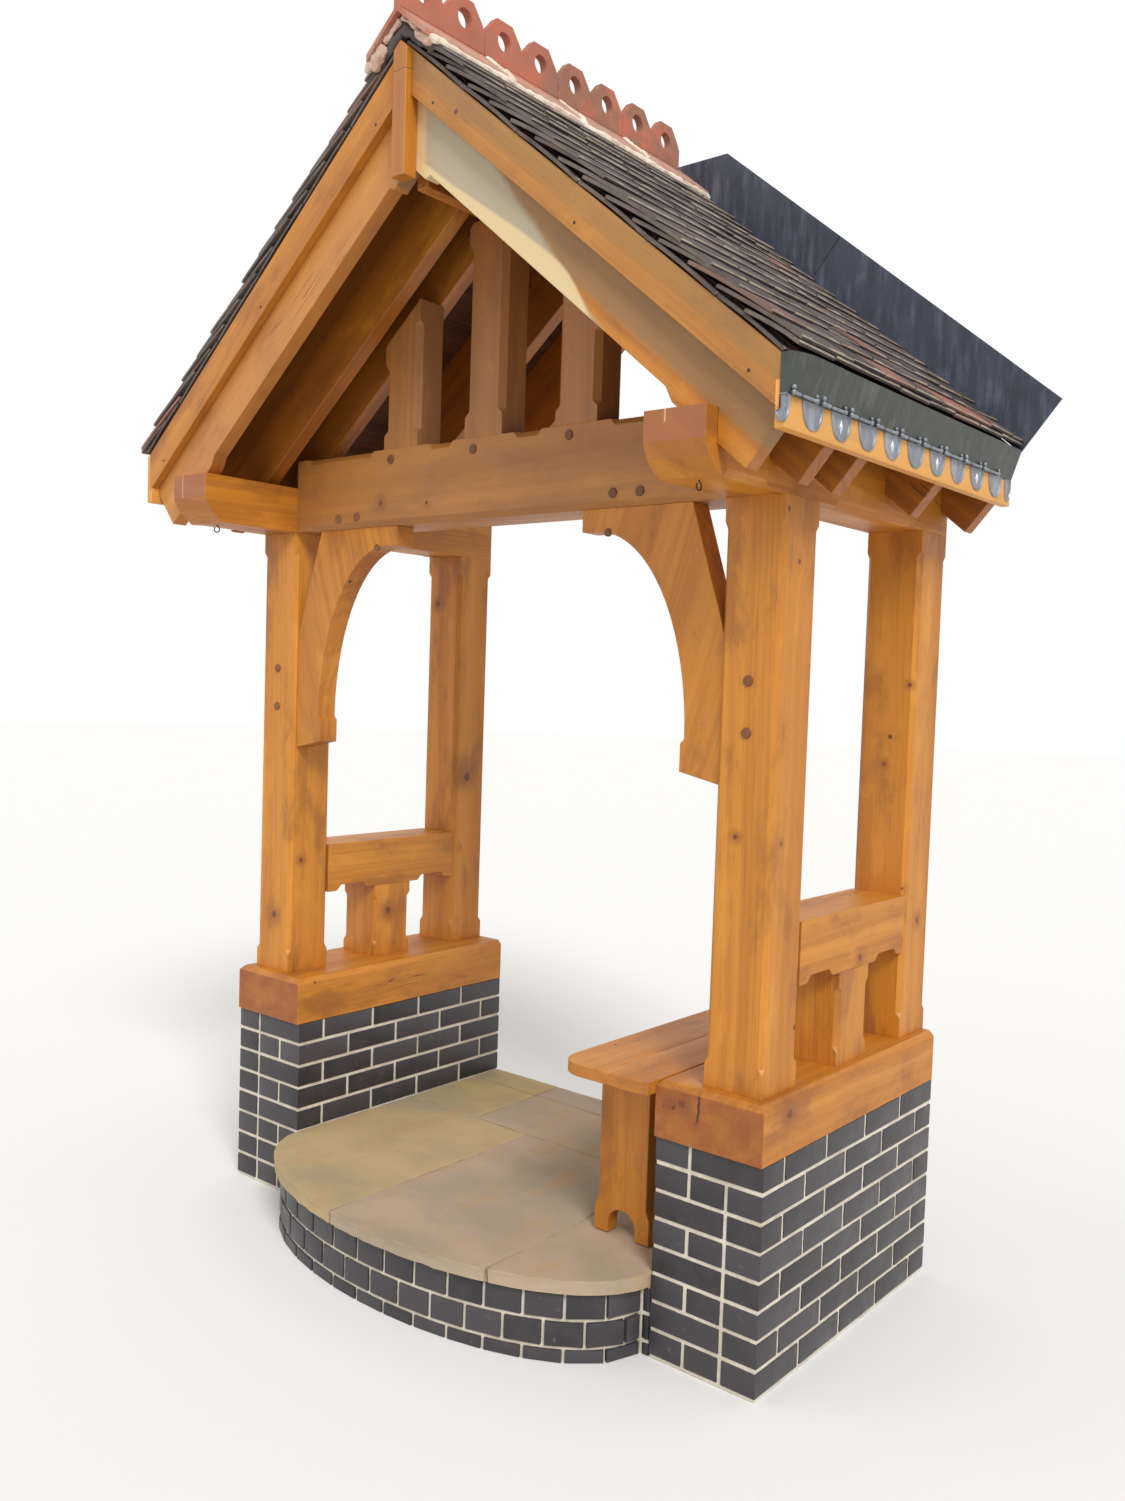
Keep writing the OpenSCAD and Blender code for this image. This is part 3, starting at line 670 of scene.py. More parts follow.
# each board's own marks, and on some boards painted light and shade
BOARD_MARKS_AND_PAINTED_LIGHT = {"verge_rafter_right": right_verge, "verge_rafter_left": left_verge, "bargeboard_right": right_barge_painted_light,
          "apex_block": apex_painted_shade_and_crack, "tie_beam": painted_truss_shade, "king_post": painted_truss_shade}
for side, hand in HANDS:
    BOARD_MARKS_AND_PAINTED_LIGHT.update({"sill" + hand: red_sill, "fascia" + hand: painted_sunlit_fascia, "wall_plate" + hand: plate_end,
                   "strut" + hand: painted_truss_shade})
KNOTS = {
    "sill_right": [((1.0655, -0.884, 0.708), 0.013), ((0.822, SILL_FRONT, 0.706), 0.011),
                   ((0.796, SILL_FRONT, 0.690), 0.007)],
    "side_rail_right": [((1.0280, -0.453, 1.041), 0.010)],
    "post_rear_right": [((1.0280, -0.081, 1.100), 0.009), ((0.941, -0.172, 1.570), 0.006),
                        ((1.011, -0.172, 1.809), 0.006)],
    "post_front_right": [((0.921, -0.966, 1.406), 0.007), ((1.028, -0.920, 1.396), 0.005)],
    "post_front_left": [((-0.856, -0.917, 1.139), 0.008), ((-0.936, -0.966, 0.945), 0.013)],
    "post_rear_left": [((-0.973, -0.172, 2.078), 0.012), ((-0.856, -0.101, 1.399), 0.018)],
    "stub_post_left": [((-0.856, -0.504, 0.916), 0.014)], "tie_beam": [((-0.438, -0.966, 2.334), 0.009)]}
print("boards with marks of their own:", sorted(BOARD_MARKS_AND_PAINTED_LIGHT))

# %% [markdown]
# ## Dress every timber
# The last number is painted shade, how much darker a timber reads: the truss and the rafters sit in the
# shade of the roof and get the most, the gable boards some; the fascias get none and are the palest.

# %% Dress the timbers
seed = 0
for node, along, painted_shade in [
        ("sill", Y, 0.15), ("post_front", Z, 0.1), ("post_rear", Z, 0.15), ("stub_post", Z, 0.1), ("side_rail", Y, 0.1),
        ("wall_plate", Y, 0.3), ("brace", vec(0.3, 0, 0.95), 0.25), ("strut", Z, 0.9), ("rafters", None, 0.9),
        ("verge_rafter", None, 0.3), ("bargeboard", None, 0.3), ("fascia", Y, 0.0), ("tie_beam", X, 0.5),
        ("king_post", Z, 0.9), ("ridge_board", Y, 0.9), ("apex_block", Z, 0.1), ("bench_seat", Y, 0.1),
        ("bench_leg", Z, 0.2)]:
    for side, hand in ((1, ""),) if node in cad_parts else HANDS:
        seed += 1
        direction = slope_along(side) if along is None else vec(along.x * side, along.y, along.z)
        timber(node + hand, direction, painted_shade, seed)
print("timbers:", seed)

# %% [markdown]
# ## The rounded step
# The riser is built of bricks laid endwise round an ellipse, so that only their narrow ends show. They
# are counted down from the stone, and the lowest course is cut by the ground. Steps along the curve
# are measured, because equal angles on an ellipse aren't equal lengths.

# %% Lay the step
riser_low, riser_high = span_of("step_riser")
wall_front = span_of("wall_right")[0].y
half_in = -riser_low.x
LIP = 0.024


def front_curve(half_width, depth, count=720):
    """Points along the front half of an ellipse, from the left wall round to the right one."""
    angles = [pi * i / count for i in range(count + 1)]
    return [vec(-half_width * cos(a), wall_front - depth * sin(a), 0) for a in angles]


def walk(points, step):
    """Points a fixed step apart along a chain of points."""
    found, left = [points[0]], step
    for a, b in zip(points, points[1:]):
        span = (b - a).length
        while span >= left:
            a = a + (b - a) * (left / span)
            span = (b - a).length
            found.append(a)
            left = step
        left -= span
    return found


def wavy_prism(outline, low, high, rows, depth):
    """An upright prism whose sides are pushed inward a little by noise."""
    bm = bmesh.new()
    rings = []
    centre = sum(outline, Vector()) / len(outline)
    for r in range(rows + 1):
        ring = []
        for p in outline:
            at = vec(p.x, p.y, low + (high - low) * r / rows)
            inward = vec(centre.x - at.x, centre.y - at.y, 0).normalized()
            ring.append(bm.verts.new(at + inward * (depth * (1 + noise.noise(at * 60)) / 2)))
        rings.append(ring)
    return tube(bm, rings)


curve = front_curve(half_in - LIP, wall_front - riser_low.y)
length = sum((b - a).length for a, b in zip(curve, curve[1:]))
count = round(length / LEAF)
halves = walk(curve, length / count / 2)
heap = Heap()
for course in range(3):
    z1 = riser_high.z - JOINT - course * COURSE
    z0 = max(0.0, z1 - BED)
    joints_at = curve[:course % 2] + halves[course % 2::2]
    if (joints_at[-1] - curve[-1]).length > 0.02:
        joints_at.append(curve[-1])
    for a, b in zip(joints_at, joints_at[1:]):
        along = (b - a).normalized()
        out = vec(along.y, -along.x, 0)
        centre = (a + b) / 2 - out * 0.05 + vec(0, 0, (z0 + z1) / 2)
        face = Matrix((along, -out, Z)).transposed().to_4x4()
        heap.add(block(vec((b - a).length - JOINT, 0.1, z1 - z0)),
                 shift(centre - out * rng.uniform(0, 0.001)) @ face, rng.random())
    for side in (1, -1):
        xs = sorted((side * (half_in - LIP + 0.001), side * (half_in - 0.001)))
        lay(heap, vec(xs[0], wall_front + 0.0005, z0), vec(xs[1], wall_front + 0.05, z1))
heap.piece("step_bricks", dark_brick, "brick", "step_riser")
inner = front_curve(half_in - LIP - 0.014, wall_front - riser_low.y - 0.005, 150)
wide, joined = half_in - 0.001, wall_front + 0.006
back = [Vector(p) for p in ((wide, joined, 0), (wide, 0, 0), (-wide, 0, 0), (-wide, joined, 0))]
piece("step_mortar", wavy_prism(inner + back, 0, riser_high.z, 14, 0.003), joint_mortar, "brick", "step_riser")
print("step:", count, "bricks round the curve of", round(length, 3), "m")

# %% [markdown]
# ## Sandstone
# The floor is riven sandstone. Its colour drifts within one flag, from golden along the left wall to
# grey and pink, so tone chooses between two colours and slow noise lays others over them.

# %% Sandstone finish
f = Finish("sandstone")
slow, speck = f.noise((2.2, 3.5, 3.5), 4, 0.6), f.noise(300, 3, 0.7)
f.shade = f.blend(f.tone(), rgb(192, 168, 110), rgb(182, 160, 142))
f.wash(slow, 0.35, 0.7, 0.6, 146, 138, 116)
f.wash(f.noise((9, 2.5, 9), 5, 0.65), 0.50, 0.70, 0.6, 184, 150, 104)
f.wash(speck, 0.52, 0.8, 0.3, 104, 98, 84)
height = f.math("MULTIPLY_ADD", slow, 1.5, f.times(speck, 0.2))
sandstone = f.done(0.82, f.bump(speck, 0.0012, 0.5, f.bump(height, 0.006, 0.35)))
print("finish:", sandstone.name)

# %% [markdown]
# ## The stone floor
# The flags are large and their skin is uneven in slow waves. Those in front are cut to the curve with a
# rough edge. The rows of points nearest an edge are set close together and dip, which rounds it.

# %% Lay the flags
floor_low, floor_high = span_of("stone_floor")
stone_depth = wall_front - floor_low.y
DIP = {0: 0.0032, 1: 0.0014, 2: 0.0004}


def stone_front(x):
    """The curve of the floor's front edge at x."""
    return wall_front - stone_depth * sqrt(max(0.0, 1 - (x / half_in) ** 2))


def stops(length, cells, edge=(0.0, 0.0012, 0.004, 0.009)):
    """Places along a line, set close together near both ends, with this many cells between."""
    middle = [edge[-1] + (length - 2 * edge[-1]) * i / cells for i in range(1, cells)]
    return list(edge) + middle + [length - e for e in reversed(edge)]


def flag(x0, x1, y_back, y_front, seed):
    """One flag between two joints; y_front is a number or None for the curved front."""
    bm, curved = bmesh.new(), y_front is None
    us = stops(x1 - x0, round((x1 - x0) / 0.025))
    cells = 22 if curved else max(4, round((y_back - y_front) / 0.03))
    top = []
    for i, u in enumerate(us):
        x = x0 + u
        vs = stops(max(0.03, y_back - (stone_front(x) + 0.001 if curved else y_front)), cells)
        line, rows = [], len(vs)
        for j, v in enumerate(vs):
            y = y_back - v
            ripple = noise.noise(vec(x * 3, y * 3, seed)) * 0.6 + noise.noise(vec(x * 14, y * 14, seed)) * 0.4
            z = floor_high.z - 0.0022 - 0.0020 * ripple - DIP.get(min(i, len(us) - 1 - i, j, rows - 1 - j), 0)
            if curved and j >= rows - 2:
                y += 0.0035 * (1 + noise.noise(vec(x * 45, seed, 0)))
            line.append(bm.verts.new((x, y, z)))
        top.append(line)
    skin(bm, top)
    rim = [line[0] for line in top] + top[-1][1:] + [line[-1] for line in top[-2::-1]] + top[0][-2:0:-1]
    rings = [rim]
    for k in range(1, 5):
        below = []
        for x, y, top_z in [v.co for v in rim]:
            z = top_z + (floor_low.z + 0.0002 - top_z) * k / 4
            if curved and y < wall_front - 0.02:
                y += 0.0030 + 0.0034 * noise.noise(vec(x * 50, y * 50, z * 110))
            below.append(bm.verts.new((x, y, z)))
        rings.append(below)
    return pattern_of(tube(bm, rings, open_start=True))


heap = Heap()
edge, gap, front_row, middle_row = half_in - 0.0005, 0.004, -0.470, -0.140
rows_of_flags = [((-edge, -0.165, 0.408, edge), front_row, None), ((-edge, -0.411, 0.19, edge), middle_row, front_row),
                 ((-edge, -0.42, -0.06, 0.33, edge), -0.001, middle_row)]
for number, (cuts, back_y, front_y) in enumerate(rows_of_flags):
    for a, b in zip(cuts, cuts[1:]):
        x0, x1 = a + (gap if a > -edge else 0), b - (gap if b < edge else 0)
        y0 = back_y - (gap if number < 2 else 0)
        y1 = None if front_y is None else front_y + gap
        tone = (0.0 if a == -edge else 0.6) + 0.4 * rng.random()
        heap.add(flag(x0, x1, y0, y1, number * 7 + a * 3), tone=tone)
heap.piece("stone_flags", sandstone, "stone", "stone_floor")
bed_front = front_curve(half_in - 0.012, stone_depth - 0.012, 120)
stone_mortar = mortar_finish("stone_mortar", rgb(178, 160, 132), rgb(150, 132, 106))
bed = wavy_prism(bed_front + back, floor_low.z, floor_high.z - 0.005, 3, 0.002)
piece("stone_bed", bed, stone_mortar, "stone", "stone_floor")

# %% [markdown]
# ## Dark clay
# The tiles are nearly black, and a few are redder. The worn arris over a tail and the side edges catch
# pale dust, and the arris gets a painted highlight as well; the tail itself gets painted shade and stays
# dark. The way a face looks tells the finish which is which.

# %% Clay finish
f = Finish("clay_tile")
f.shade = f.blend(f.span(f.tone(), 0.0, 0.85), rgb(36, 30, 34), rgb(84, 70, 68))
f.tint(f.span(f.tone(), 0.87, 0.97), 146, 92, 76)
dust, sand = f.noise(26, 4, 0.65), f.noise(480, 2, 0.7)
f.wash(dust, 0.5, 0.78, 0.4, 116, 100, 92)
f.wash(f.noise(60, 3, 0.7), 0.66, 0.76, 0.5, 118, 112, 78)
f.wash(sand, 0.5, 0.75, 0.3, 34, 28, 32)
tail = f.minus(f.times(f.math("SIGN", f.at(0)), f.facing(0)), f.facing(2))
# pale dust on the worn arris over each tail and on the side edges, with a painted highlight on the arris
arris_dust_and_highlight = f.times(f.span(tail, 0.25, 0.50), f.span(tail, 1.20, 0.95))
edge = f.math("MAXIMUM", arris_dust_and_highlight, f.span(f.size(f.facing(1)), 0.7, 0.95, 0, 0.35))
f.tint(f.times(edge, f.span(f.noise(11, 3, 0.6), 0.35, 0.65, 0.45, 1.0)), 160, 144, 124)
# painted shade: the tails are made dark
f.wash(tail, 1.20, 1.30, 0.72, 38, 30, 34)
clay_tile = f.done(0.86, f.bump(sand, 0.0011, 0.8, f.bump(dust, 0.0015, 0.5)))
print("finish:", clay_tile.name)

# %% [markdown]
# ## Plain clay tiles
# A plain tile is a thin slab of clay with a slight camber, a little uneven and worn at its edges. Five
# kinds of each size are enough, since no eye finds two of a kind on a roof.

# %% Shape the tiles
slope_low, slope_high = span_of("tile_slope_right")
REACH, ROWS, THICK, SIDE_GAP = slope_high.x, 16, 0.0102, 0.0035
TILE_TOP, FLATTER = slope_high.z + 0.015, radians(6.5)
VERGE, WALL_END, WIDE, LONG = slope_low.y + 0.002, -0.006, 0.165, 0.265


def tile_pattern(width, length, seed):
    """A cambered slab with worn edges; the tail lies at the origin and the tile runs along -X."""
    bm = bmesh.new()
    us = stops(length, max(2, round(length / 0.045)), (0.0, 0.0050))
    vs = stops(width, max(2, round(width / 0.03)), (0.0, 0.0016))
    layers = []
    for thick in (0, THICK):
        rows = []
        for i, u in enumerate(us):
            row = []
            for j, v in enumerate(vs):
                camber = 0.0035 * (1 - (2 * u / length - 1) ** 2)
                z = camber + noise.noise(vec(u * 40, v * 40, seed)) * 0.0006 - thick
                ragged = 0
                if i in (0, len(us) - 1) or j in (0, len(vs) - 1):
                    z += 0.0014 if thick else -0.0036 if i == 0 else -0.0014
                    ragged = 0.0009 * noise.noise(vec(u * 60, v * 60, seed + 5))
                row.append(bm.verts.new((-u + ragged, v - width / 2 + ragged, z)))
            rows.append(row)
        layers.append(rows)
    skin(bm, layers[0])
    back_and_rim(bm, *layers)
    bmesh.ops.recalc_face_normals(bm, faces=bm.faces[:])
    return pattern_of(bm)


tile_patterns = {}


def tile(width, length):
    key = round(width, 3), length, rng.randrange(5)
    if key not in tile_patterns:
        tile_patterns[key] = tile_pattern(*key)
    return tile_patterns[key]


print("tiles reach", round(REACH, 3), "from the centre and", round(slope_low.y, 3), "at the verge")

# %% [markdown]
# ## The courses
# Each course overlaps the two below it, so only the lowest 100 mm of a tile show. Its tail rests on the
# tile below, which makes it lie flatter than the roof and gives every course its shadow line. The
# courses break joint, so every second one starts with a tile and a half. Each tile is nudged, turned
# and lifted a little, and the redder ones lie mostly near the eaves.

# %% Lay the tiles
def on_roof(side, x, lift, angle=PITCH):
    """A matrix for the slope: X down the roof at the given angle, Y to the house, Z out of the roof."""
    down = vec(side * cos(angle), 0, -sin(angle))
    out = vec(side * sin(angle), 0, cos(angle))
    turn = Matrix((down, out.cross(down), out)).transposed().to_4x4()
    return shift((side * x, 0, TILE_TOP - TAN * x + lift)) @ turn


def tile_course(heap, side, x, lift, length, half, reddish):
    """One course of tiles from the verge to the wall."""
    y, first = VERGE, True
    while y < WALL_END - 0.02:
        width = WIDE * 1.5 if first and half else WIDE
        width = min(width - SIDE_GAP, WALL_END - y)
        nudge = rng.uniform(0.0, 0.009 if first else 0.0015)
        shape = tile(width - nudge, length)
        turn = Euler((rng.uniform(-0.012, 0.012), rng.uniform(-0.004, 0.010), rng.uniform(-0.014, 0.014)))
        slide = shift((rng.uniform(-0.006, 0.001), 0, 0))
        middle = shift((0, y + nudge + (width - nudge) / 2, 0))
        matrix = middle @ on_roof(side, x, lift + rng.uniform(-0.0012, 0.0026), PITCH - FLATTER)
        tone = rng.uniform(0.45 if first else 0.0, 0.86)
        if rng.random() < reddish:
            tone = rng.uniform(0.88, 1.0)
        heap.add(shape, matrix @ slide @ turn.to_matrix().to_4x4(), tone)
        y += width + SIDE_GAP
        first = False


for side, hand in HANDS:
    heap = Heap()
    for row in range(1, ROWS + 1):
        length = {1: 0.09, 2: 0.17}.get(row, LONG)
        reddish = {ROWS: 0.4, ROWS - 1: 0.14}.get(row, 0.03)
        tile_course(heap, side, row * (REACH / ROWS), 0, length, row % 2 == 0, reddish)
    tile_course(heap, side, REACH - 0.001, -0.0145, 0.165, False, 0.4)
    heap.piece("tiles" + hand, clay_tile, "roof_tile", "tile_slope" + hand)

# %% [markdown]
# ## Under the tiles
# Seen from below, the covering is boarded. Along the verge a strip of tiles lies flat on the gable
# boards.

# %% Board the roof and close the verge
f = Finish("roof_boards")
grain = f.noise((30, 2, 30), 4, 0.6)
f.shade = f.blend(f.span(grain, 0.3, 0.7), rgb(112, 72, 44), rgb(78, 48, 30))
f.tint(f.times(f.tone(), 0.4), 60, 38, 26)
roof_boards = f.done(0.75, f.bump(grain, 0.001, 0.5))
BOARD, BOARD_LONG, BOARDS_END, CLOAK_END = 0.122, 1.270, 1.17 / COS, 1.212 / COS
for side, hand in HANDS:
    boards, cloak = Heap(), Heap()
    at = 0.012
    while at < BOARDS_END:
        matrix = on_roof(side, (at + BOARD / 2) * COS, RAFTER_TOP - TILE_TOP + 0.0095 / COS)
        shape = block(vec(BOARD - 0.002, BOARD_LONG, 0.018), 0.0012)
        boards.add(shape, shift((0, -0.0035 - BOARD_LONG / 2, 0)) @ matrix, rng.random())
        at += BOARD
    boards.piece("roof_boards" + hand, roof_boards, "oak", "tile_slope" + hand)
    at = 0.02
    while at < CLOAK_END - 0.02:
        long = min(0.262, CLOAK_END - at)
        matrix = on_roof(side, (at + long) * COS, RAFTER_TOP - TILE_TOP + (THICK + 0.0012) / COS)
        shape = tile(WIDE, round(long, 3))
        middle = shift((0, VERGE + 0.004 + WIDE / 2 + rng.uniform(0, 0.004), 0))
        cloak.add(shape, middle @ matrix, rng.random() * 0.6)
        at += long + 0.003
    cloak.piece("undercloak" + hand, clay_tile, "roof_tile", "tile_slope" + hand)

# %% [markdown]
# ## Ropes of mortar
# Mortar that was pressed in by hand is never straight. It is made here as a rope: an oval section
# drawn along a path, thicker and thinner as it goes.

# %% Rope helper
def rope(path, wide, high, up, seed, sides=10, lumpy=0.35, rate=45):
    """A lumpy oval rope along a path. wide is measured across the path and high along up."""
    bm = bmesh.new()
    rings = []
    for i, p in enumerate(path):
        ahead = path[min(i + 1, len(path) - 1)] - path[max(i - 1, 0)]
        across = ahead.cross(up).normalized()
        taper = 0.35 if i in (0, len(path) - 1) else 1
        slow = lumpy * noise.noise(p * rate / 4 + Y * seed)
        ring = []
        for k in range(sides):
            a = 2 * pi * k / sides
            d = across * (cos(a) * wide) + up * (sin(a) * high)
            swell = 1 + lumpy * noise.noise((p + d) * rate + X * seed) + slow
            ring.append(bm.verts.new(p + d * swell * taper))
        rings.append(ring)
    return pattern_of(tube(bm, rings))


def line_of(a, b, step):
    n = max(2, round((b - a).length / step))
    return [a + (b - a) * i / n for i in range(n + 1)]


print("rope helper ready")

# %% [markdown]
# ## The ridge
# Terracotta ridge tiles ride the top, each with two pierced humps. The solids have their shape; only
# their arrises are eased. They are bedded in pale mortar, which shows as a fillet along both lower
# edges, a fat line at each joint, and lumps under the open front end. A haze of mortar makes the wings
# paler away from the crest, and the tiles nearer the house have gone browner.

# %% Dress the ridge
f = Finish("terracotta")
f.shade = f.blend(f.span(f.noise(9, 4, 0.6), 0.35, 0.7), rgb(190, 102, 78), rgb(162, 86, 62))
rear = f.span(f.at(1), -0.78, -0.70, 0.15, 0.85)
f.tint(f.times(rear, f.span(f.noise(6.5, 4, 0.7), 0.38, 0.58)), 134, 92, 70)
speck, stain = f.noise(170, 3, 0.7), f.noise(30, 4, 0.7)
f.wash(speck, 0.55, 0.8, 0.45, 140, 82, 64)
away = f.span(f.size(f.at(0)), 0.008, 0.09, 0.18, 0.85)
f.tint(f.times(away, f.span(f.noise(18, 4, 0.7), 0.3, 0.6, 0.3, 1.0)), 192, 158, 138)
f.wash(stain, 0.6, 0.78, 0.4, 128, 96, 80)
terracotta = f.done(0.84, f.bump(speck, 0.0012, 0.7, f.bump(stain, 0.002, 0.4)))
piece("ridge_tiles_clay", eased("ridge_tiles", 0.0022), terracotta, "ridge_tile", "ridge_tiles", crease=20)
FRONT = span_of("ridge_tiles")[0].y
WING, LONG_RIDGE = 0.018 * COS, 0.327
heap, mortar_bed_in_painted_shade = Heap(), Heap()
for side in (1, -1):
    out = slope_out(side)

    def bed(ends, step, wide, high, seed, lumpy=0.35, rate=45, into=heap, tone=0.5):
        """A rope of mortar between two points of a slope: across, along, and out from the tiles."""
        a, b = [vec(side * x, y, TILE_TOP - TAN * x) + out * above for x, y, above in ends]
        into.add(rope(line_of(a, b, step), wide, high, out, seed, lumpy=lumpy, rate=rate), tone=tone)

    bed([(0.124, FRONT + 0.007, 0.001), (0.124, -0.008, 0.001)], 0.009, 0.017, 0.010, 3 + side)
    for k in range(1, 4):
        y = FRONT + k * LONG_RIDGE
        bed([(0.014, y, WING), (0.119, y, WING)], 0.006, 0.0105, 0.0050, 9 + k, 0.5, 80)
        bed([(0.088, y, WING), (0.130, y, 0.004)], 0.005, 0.014, 0.009, 19 + k, 0.5, 80)
    # the open front end: pale lumps under the wing, and behind them dark mortar, its darkness painted shade of the
    # hollow
    bed([(0.126, FRONT + 0.018, -0.010), (0.070, FRONT + 0.018, -0.014)], 0.005,
        0.016, 0.024 if side < 0 else 0.014, 33 + side, 0.5, 50, tone=1.0)
    bed([(0.070, FRONT + 0.020, -0.004), (0.008, FRONT + 0.019, -0.008)], 0.006, 0.009, 0.008, 38 + side, 0.8, 70,
        tone=1.0)
    bed([(0.130, FRONT + 0.030, -0.018), (0.016, FRONT + 0.030, -0.030)], 0.006, 0.012, 0.014, 43 + side, 0.5, 70,
        mortar_bed_in_painted_shade, 0.3)
lime = mortar_finish("ridge_mortar", rgb(240, 226, 206), rgb(212, 186, 166))
heap.piece("ridge_bedding", lime, "ridge_tile", "ridge_tiles")
# painted shade: the mortar in the hollow of the open front end is made dark
mortar_in_painted_shade = mortar_finish("mortar_in_painted_shade", rgb(92, 84, 80), rgb(64, 58, 56))
mortar_bed_in_painted_shade.piece("ridge_infill", mortar_in_painted_shade, "ridge_tile", "ridge_tiles")

# %% [markdown]
# ## Sheet lead
# Lead is soft and dressed by hand over what is under it, so it is never flat: broad shallow dents run
# through it. Weather turns it slate grey with a paler bloom in upright streaks.

# %% Lead helper
def lead_finish(name, base, bloom, shine):
    """Dull sheet lead; whatever has a tone over 0.95 gets a painted highlight, near white."""
    f = Finish(name)
    streak, cloud, fine = f.noise((34, 34, 5), 4, 0.65), f.noise(7, 3, 0.6), f.noise(230, 3, 0.7)
    f.shade = f.blend(f.span(cloud, 0.3, 0.7), base, [c * 0.72 for c in base[:3]] + [1])
    f.tint(f.times(f.span(streak, 0.42, 0.72), f.span(cloud, 0.3, 0.62), 0.75), bloom)
    f.tint(f.span(fine, 0.6, 0.8, 0, 0.2), [c * 0.5 for c in base[:3]] + [1])
    # painted highlight, near white, where the tone is over 0.95
    f.wash(f.tone(), 0.94, 0.97, 0.8, 226, 230, 236)
    rough = f.span(streak, 0.3, 0.75, shine, shine + 0.18)
    return f.done(rough, f.bump(fine, 0.0006, 0.4, f.bump(cloud, 0.006, 0.3)), Metallic=0.35)


def between(corners, across, down):
    """Rows of points between four corners."""
    a, b, c, d = corners
    return [[a.lerp(b, i / across).lerp(d.lerp(c, i / across), j / down) for i in range(across + 1)]
            for j in range(down + 1)]


def sheet(grid, thick, depth, seed, rate=5.0):
    """A dented sheet through rows of points, with a face on both sides."""
    bm = bmesh.new()
    front = [[bm.verts.new(p) for p in row] for row in grid]
    skin(bm, front)
    bm.normal_update()
    rear = [[bm.verts.new(v.co - v.normal * thick) for v in row] for row in front]
    for row, other in zip(front, rear):
        for v, w in zip(row, other):
            p = v.co
            dent = v.normal * (depth * (noise.noise(p * rate + X * seed) + 0.35 * noise.noise(p * rate * 5)))
            v.co, w.co = v.co + dent, w.co + dent
    back_and_rim(bm, front, rear)
    return pattern_of(bm)


print("sheet helper ready")

# %% [markdown]
# ## Flashing on the wall
# Each side has an upper sheet, cut level at its top, and a lower sheet that tucks 100 mm up behind it.
# Both reach down behind the ends of the tiles, so that no gap shows.

# %% Hang the wall flashing
wall_lead = lead_finish("wall_lead", rgb(74, 80, 96), rgb(112, 120, 138), 0.42)
FLASH, FLASH_TOP, FOOT, LAP, TUCK = 0.190, 3.595, REACH + 0.005, 0.535, 0.034
OUTER, INNER = 0.0052, 0.0028
top_x = (TILE_TOP + FLASH - FLASH_TOP) / TAN
tall, lap = FLASH * COS, (FOOT - LAP) / COS
under_top, under_ridge = TILE_TOP - TAN * top_x - TUCK / COS, TILE_TOP - TUCK / COS
for side, hand in HANDS:
    heap = Heap()

    def spot(s, v, y):
        """A point s up the slope from the sheet's foot and v out from the tiles, y in front of the wall."""
        p = vec(side * FOOT, 0, TILE_TOP - TAN * FOOT) - slope_along(side) * s + slope_out(side) * v
        return vec(p.x, -y, p.z)

    def level(x, z):
        return vec(side * x, -OUTER, z)

    lower = [spot(-0.006, -TUCK, INNER), spot(lap + 0.1, -TUCK, INNER),
             spot(lap + 0.1, tall, INNER), spot(0, tall, INNER)]
    middle = [spot(lap, -TUCK, OUTER), level(top_x, under_top), level(top_x, FLASH_TOP), spot(lap, tall, OUTER)]
    upper = [level(top_x, under_top), level(0, under_ridge), level(0, FLASH_TOP), level(top_x, FLASH_TOP)]
    for number, (quad, cells) in enumerate(((lower, 90), (middle, 34), (upper, 34))):
        quad = [quad[1], quad[0], quad[3], quad[2]] if side > 0 else quad
        heap.add(sheet(between(quad, cells, 14), 0.0018, 0.0007, 2 + 3 * number + side), tone=0)
    heap.piece("wall_flashing" + hand, wall_lead, "lead", "flashing" + hand)

# %% [markdown]
# ## Cast lead drops
# Below the eaves hang cast drops, dished ovals with a raised rim, every second one with a lozenge. Both
# are rings of points, each smaller than the last and raised as the casting is. The foremost drop on the
# right is bent round the corner.

# %% Cast the drops
eaves_lead = lead_finish("eaves_lead", rgb(72, 75, 72), rgb(108, 109, 100), 0.42)
drop_lead = lead_finish("drop_lead", rgb(134, 138, 146), rgb(176, 180, 188), 0.30)
LEAD_Z, LEAD_TOP, LEAD_X, LEAD_OUT = 2.412, 2.5005, 1.219, 1.248
LEAD_Y, BARGE_END, BARGE_FOOT = span_of("eaves_lead_right")[0].y, 1.2025, 2.378
DROP_GAUGE, DROP_FIRST, LAP_Y, NIP = 0.13375, -0.122, -1.118, 1.230


def raised(outline, middle, profile):
    """A shape of rings, shrunk towards the middle by the first number and raised by the second."""
    bm, centre = bmesh.new(), vec(0, 0, middle)
    rings = [[bm.verts.new(centre + (p - centre) * share + X * out) for p in outline] for share, out in profile]
    return pattern_of(tube(bm, rings))


def drop_pattern(wide, tall):
    """Half an oval with a dished middle and a raised rim, hanging from the origin in Y and Z."""
    outline = []
    for k in range(25):
        c, s = cos(pi * k / 24), sin(pi * k / 24)
        outline.append(vec(0, copysign(wide * abs(c) ** 0.8, c), -tall * s ** 0.92))
    outline += [vec(0, wide * (-1 + k / 6), 0.002) for k in range(1, 12)]
    rim = [(1.0, 0.0), (1.0, 0.0018), (0.95, 0.0038), (0.87, 0.0038), (0.80, 0.0010), (0.55, 0.0002), (0.25, 0.0012)]
    return raised(outline, -tall * 0.42, rim)


def ball_pattern(radius):
    bm = bmesh.new()
    bmesh.ops.create_uvsphere(bm, u_segments=14, v_segments=9, radius=radius)
    return pattern_of(bm)


